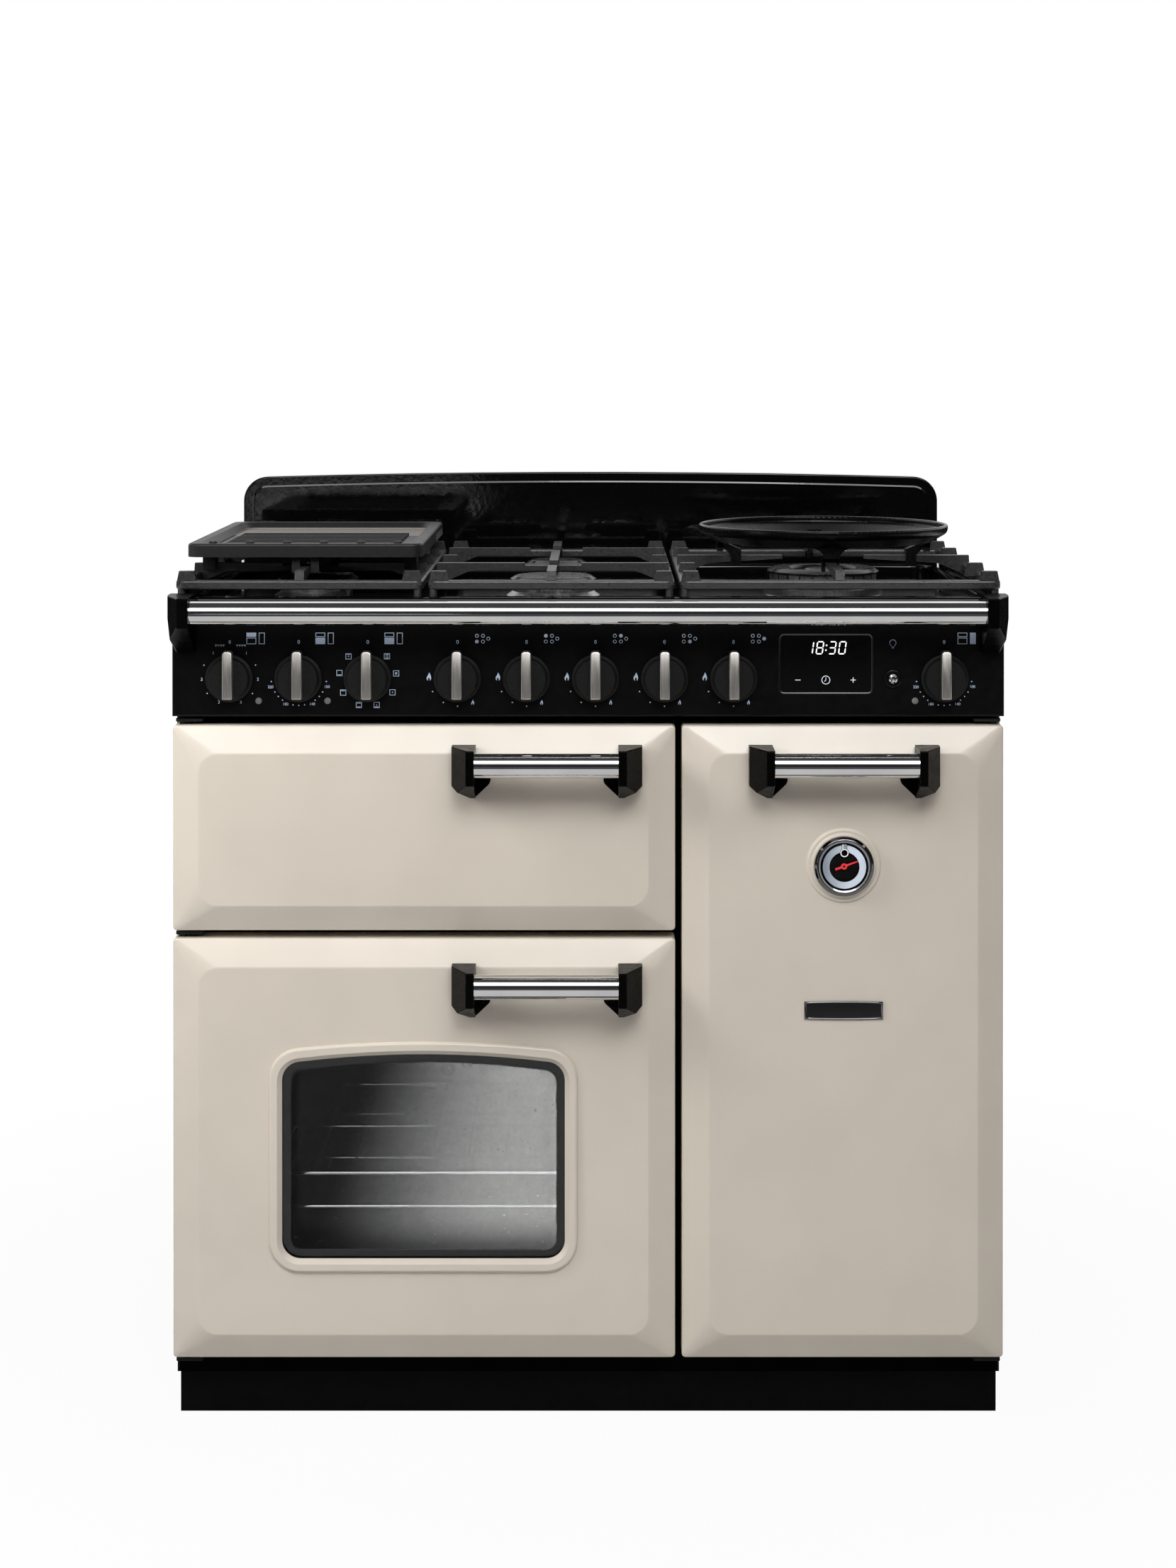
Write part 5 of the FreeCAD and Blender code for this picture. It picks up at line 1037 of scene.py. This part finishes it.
# Lamps: place, target, width, height and watts, and those that reflections don't show
LAMPS = {
    "key": ((-0.5, -2.7, 3.1), (0, -0.25, 0.6), 2.2, 1.2, 40),
    "right_key": ((0.9, -2.6, 2.9), (0, -0.25, 0.6), 2.0, 1.2, 43),
    "left": ((-2.4, -1.2, 1.2), (-0.1, -0.27, 0.7), 0.8, 1.4, 4),
    "near_left": ((-1.1, -0.75, 1.35), (-0.4, -0.27, 0.7), 0.4, 0.5, 8.5),
}
UNMIRRORED_LAMPS = ("near_left",)
# The oven's spot lamp
SPOT_PLACE, SPOT_TARGET, SPOT_POWER = (0.01, -0.16, 0.27), (-0.03, 0.18, 0.17), 10
SPOT_CONE, SPOT_BLEND, SPOT_SIZE = 76, 0.8, 0.02
# The photo's camera: place, lens and sensor in millimetres, shift, and tilt below level in degrees
EYE_PLACE = Vector((15.7 * MM, Y_PANEL - 2.905, 1.1617))
FOCAL_LENGTH, SENSOR, SHIFT_X, SHIFT_Y, TILT = 61.865, 36, -0.00936, -0.2683, 0.268


def seen_by_eye(tree):
    """1 for rays that come from the camera, a reflection or a window, and 0 for the rest."""
    path = tree.nodes.new("ShaderNodeLightPath")
    value = path.outputs["Is Camera Ray"]
    for name in ("Is Glossy Ray", "Is Transmission Ray"):
        value = math_node(tree, "MAXIMUM", value, path.outputs[name])
    return value


def blank_material(name):
    """A material with an empty node tree."""
    material = bpy.data.materials.new(name)
    material.use_nodes = True
    material.node_tree.nodes.clear()
    return material


def floor_white():
    """A floor that keeps the shadow near the cooker and looks white to the eye farther off."""
    material = blank_material("floor_white")
    tree = material.node_tree
    away = tree.nodes.new("ShaderNodeVectorMath")
    away.operation = "LENGTH"
    tree.links.new(own_coords(tree), away.inputs[0])
    span = map_range(tree, away.outputs["Value"], *GLOW_RADII, FLOOR_GLOW, 1.0)
    diffuse = tree.nodes.new("ShaderNodeBsdfDiffuse")
    diffuse.inputs["Color"].default_value = FLOOR_COLOR
    mix = tree.nodes.new("ShaderNodeMixShader")
    tree.links.new(math_node(tree, "MULTIPLY", span.outputs["Result"], seen_by_eye(tree)), mix.inputs["Fac"])
    tree.links.new(diffuse.outputs[0], mix.inputs[1])
    tree.links.new(tree.nodes.new("ShaderNodeEmission").outputs[0], mix.inputs[2])
    tree.links.new(mix.outputs[0], tree.nodes.new("ShaderNodeOutputMaterial").inputs["Surface"])
    return material


def floor():
    mesh = bmesh.new()
    bmesh.ops.create_circle(mesh, cap_ends=True, segments=FLOOR_SIDES, radius=FLOOR_RADIUS)
    data = bpy.data.meshes.new("floor")
    mesh.to_mesh(data)
    mesh.free()
    data.materials.append(floor_white())
    thing = place("floor", data)


def reflection_only(name, corners, material):
    """Place a flat card that only glossy rays see."""
    data = bpy.data.meshes.new(name)
    data.from_pydata(corners, [], [tuple(range(len(corners)))])
    data.materials.append(material)
    thing = place(name, data)
    for ray in ("camera", "diffuse", "shadow", "transmission"):
        setattr(thing, f"visible_{ray}", False)
    return thing


def card(name, corners, level):
    """An evenly bright card."""
    glow = Finish(name, color=BLACK, specular=0, glow=WHITE, glow_strength=level)
    reflection_only(name, corners, glow.material)


def floor_card():
    """What glossy pieces see of the floor: bright close to the cooker and dim farther off."""
    glow = Finish("floor_card", color=BLACK, specular=0, glow_strength=EYE)
    ramp = glow.nodes.new("ShaderNodeValToRGB")
    stops = ramp.color_ramp.elements
    for position, _ in FLOOR_CARD_STOPS[1:-1]:
        stops.new(position)
    for stop, (_, level) in zip(stops, FLOOR_CARD_STOPS):
        stop.color = (level, level, level, 1)
    glow.links.new(glow.step("Y", *FLOOR_CARD_SPAN), ramp.inputs["Fac"])
    glow.links.new(ramp.outputs["Color"], glow.shader.inputs["Emission Color"])
    reflection_only("floor_card", [(x, y, MM) for x, y in box_points(*FLOOR_CARD)], glow.material)


def mirrored(x, z):
    """Where the eye, looking at a place on the window, meets the floor in the mirror image."""
    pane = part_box("main_door_glass")[0].y
    share = (z - CARD_LEVEL) / (EYE_PLACE.z - z)
    return (x + (x - EYE_PLACE.x) * share, pane - (pane - EYE_PLACE.y) * share, CARD_LEVEL)


def window_card():
    """A soft light low in front of the cooker that only the oven's window mirrors."""
    material = blank_material("window_card")
    tree = material.node_tree
    coords = own_coords(tree)
    spans = []
    for axis, start, end, top in WINDOW_GLOW:
        span = map_range(tree, along(tree, coords, axis), start, end, 0.0, top)
        span.interpolation_type = "SMOOTHSTEP"
        spans.append(span.outputs["Result"])
    glow = tree.nodes.new("ShaderNodeEmission")
    tree.links.new(math_node(tree, "MULTIPLY", *spans), glow.inputs["Strength"])
    both = tree.nodes.new("ShaderNodeAddShader")
    tree.links.new(tree.nodes.new("ShaderNodeBsdfTransparent").outputs[0], both.inputs[0])
    tree.links.new(glow.outputs[0], both.inputs[1])
    tree.links.new(both.outputs[0], tree.nodes.new("ShaderNodeOutputMaterial").inputs["Surface"])
    thing = reflection_only("window_card", [mirrored(x, z) for x, z in window_outline(BORDER_IN)], material)
    receivers = bpy.data.collections.new("window_card_receivers")
    receivers.objects.link(frame["nodes"]["main_door_glass"])
    thing.light_linking.receiver_collection = receivers


def cards():
    """Everything that only reflections see."""
    floor_card()
    window_card()
    card("ceiling_card", [(x, y, WALL_TOP) for x, y in box_points(*CEILING_CARD)], CEILING_LEVEL)
    for name, (x0, x1, y, z0, z1, level) in UPRIGHT_CARDS.items():
        card(name, at_depth(box_points(x0, x1, z0, z1), y), level)
    wall = box_points(WALL_FRONT, WALL_BACK, WALL_FOOT, WALL_TOP)
    for side in (-1, 1):
        card(f"side_card_{side}", [(WALL_X * side, y, z) for y, z in wall], SIDE_LEVEL)


def aim(lamp, spot, target):
    """Put a lamp in its place and turn it to its target."""
    lamp.location = spot
    lamp.rotation_euler = (Vector(target) - Vector(spot)).to_track_quat("-Z", "Y").to_euler()


def lamps():
    """The soft boxes."""
    for name, (spot, target, width, height, power) in LAMPS.items():
        data = bpy.data.lights.new(name, "AREA")
        data.shape = "RECTANGLE"
        data.size = width
        data.size_y = height
        data.energy = power
        lamp = place(name, data)
        lamp.visible_glossy = name not in UNMIRRORED_LAMPS
        aim(lamp, spot, target)


def oven_lamp():
    """A lamp inside the main oven that lights the right of its back wall."""
    data = bpy.data.lights.new("oven_lamp", "SPOT")
    data.energy = SPOT_POWER
    data.spot_size = math.radians(SPOT_CONE)
    data.spot_blend = SPOT_BLEND
    data.shadow_soft_size = SPOT_SIZE
    lamp = place("oven_lamp", data)
    lamp.visible_glossy = False
    aim(lamp, SPOT_PLACE, SPOT_TARGET)


def world():
    """White to the eye, and a dimmer even light on surfaces."""
    sky = bpy.data.worlds.new("studio")
    bpy.context.scene.world = sky
    sky.use_nodes = True
    tree = sky.node_tree
    back = tree.nodes["Background"]
    back.inputs["Color"].default_value = WHITE
    strength = map_range(tree, seen_by_eye(tree), 0.0, 1.0, FILL, EYE)
    tree.links.new(strength.outputs["Result"], back.inputs["Strength"])


def camera():
    """The photo's view: in front, a little above the hob, looking slightly down."""
    data = bpy.data.cameras.new("camera")
    data.sensor_width = SENSOR
    data.lens = FOCAL_LENGTH
    data.shift_x = SHIFT_X
    data.shift_y = SHIFT_Y
    eye = place("camera", data)
    eye.location = EYE_PLACE
    eye.rotation_euler = (math.radians(90 - TILT), 0, 0)
    bpy.context.scene.camera = eye


floor()
cards()
lamps()
oven_lamp()
world()
camera()
bpy.context.scene.view_settings.view_transform = "Standard"
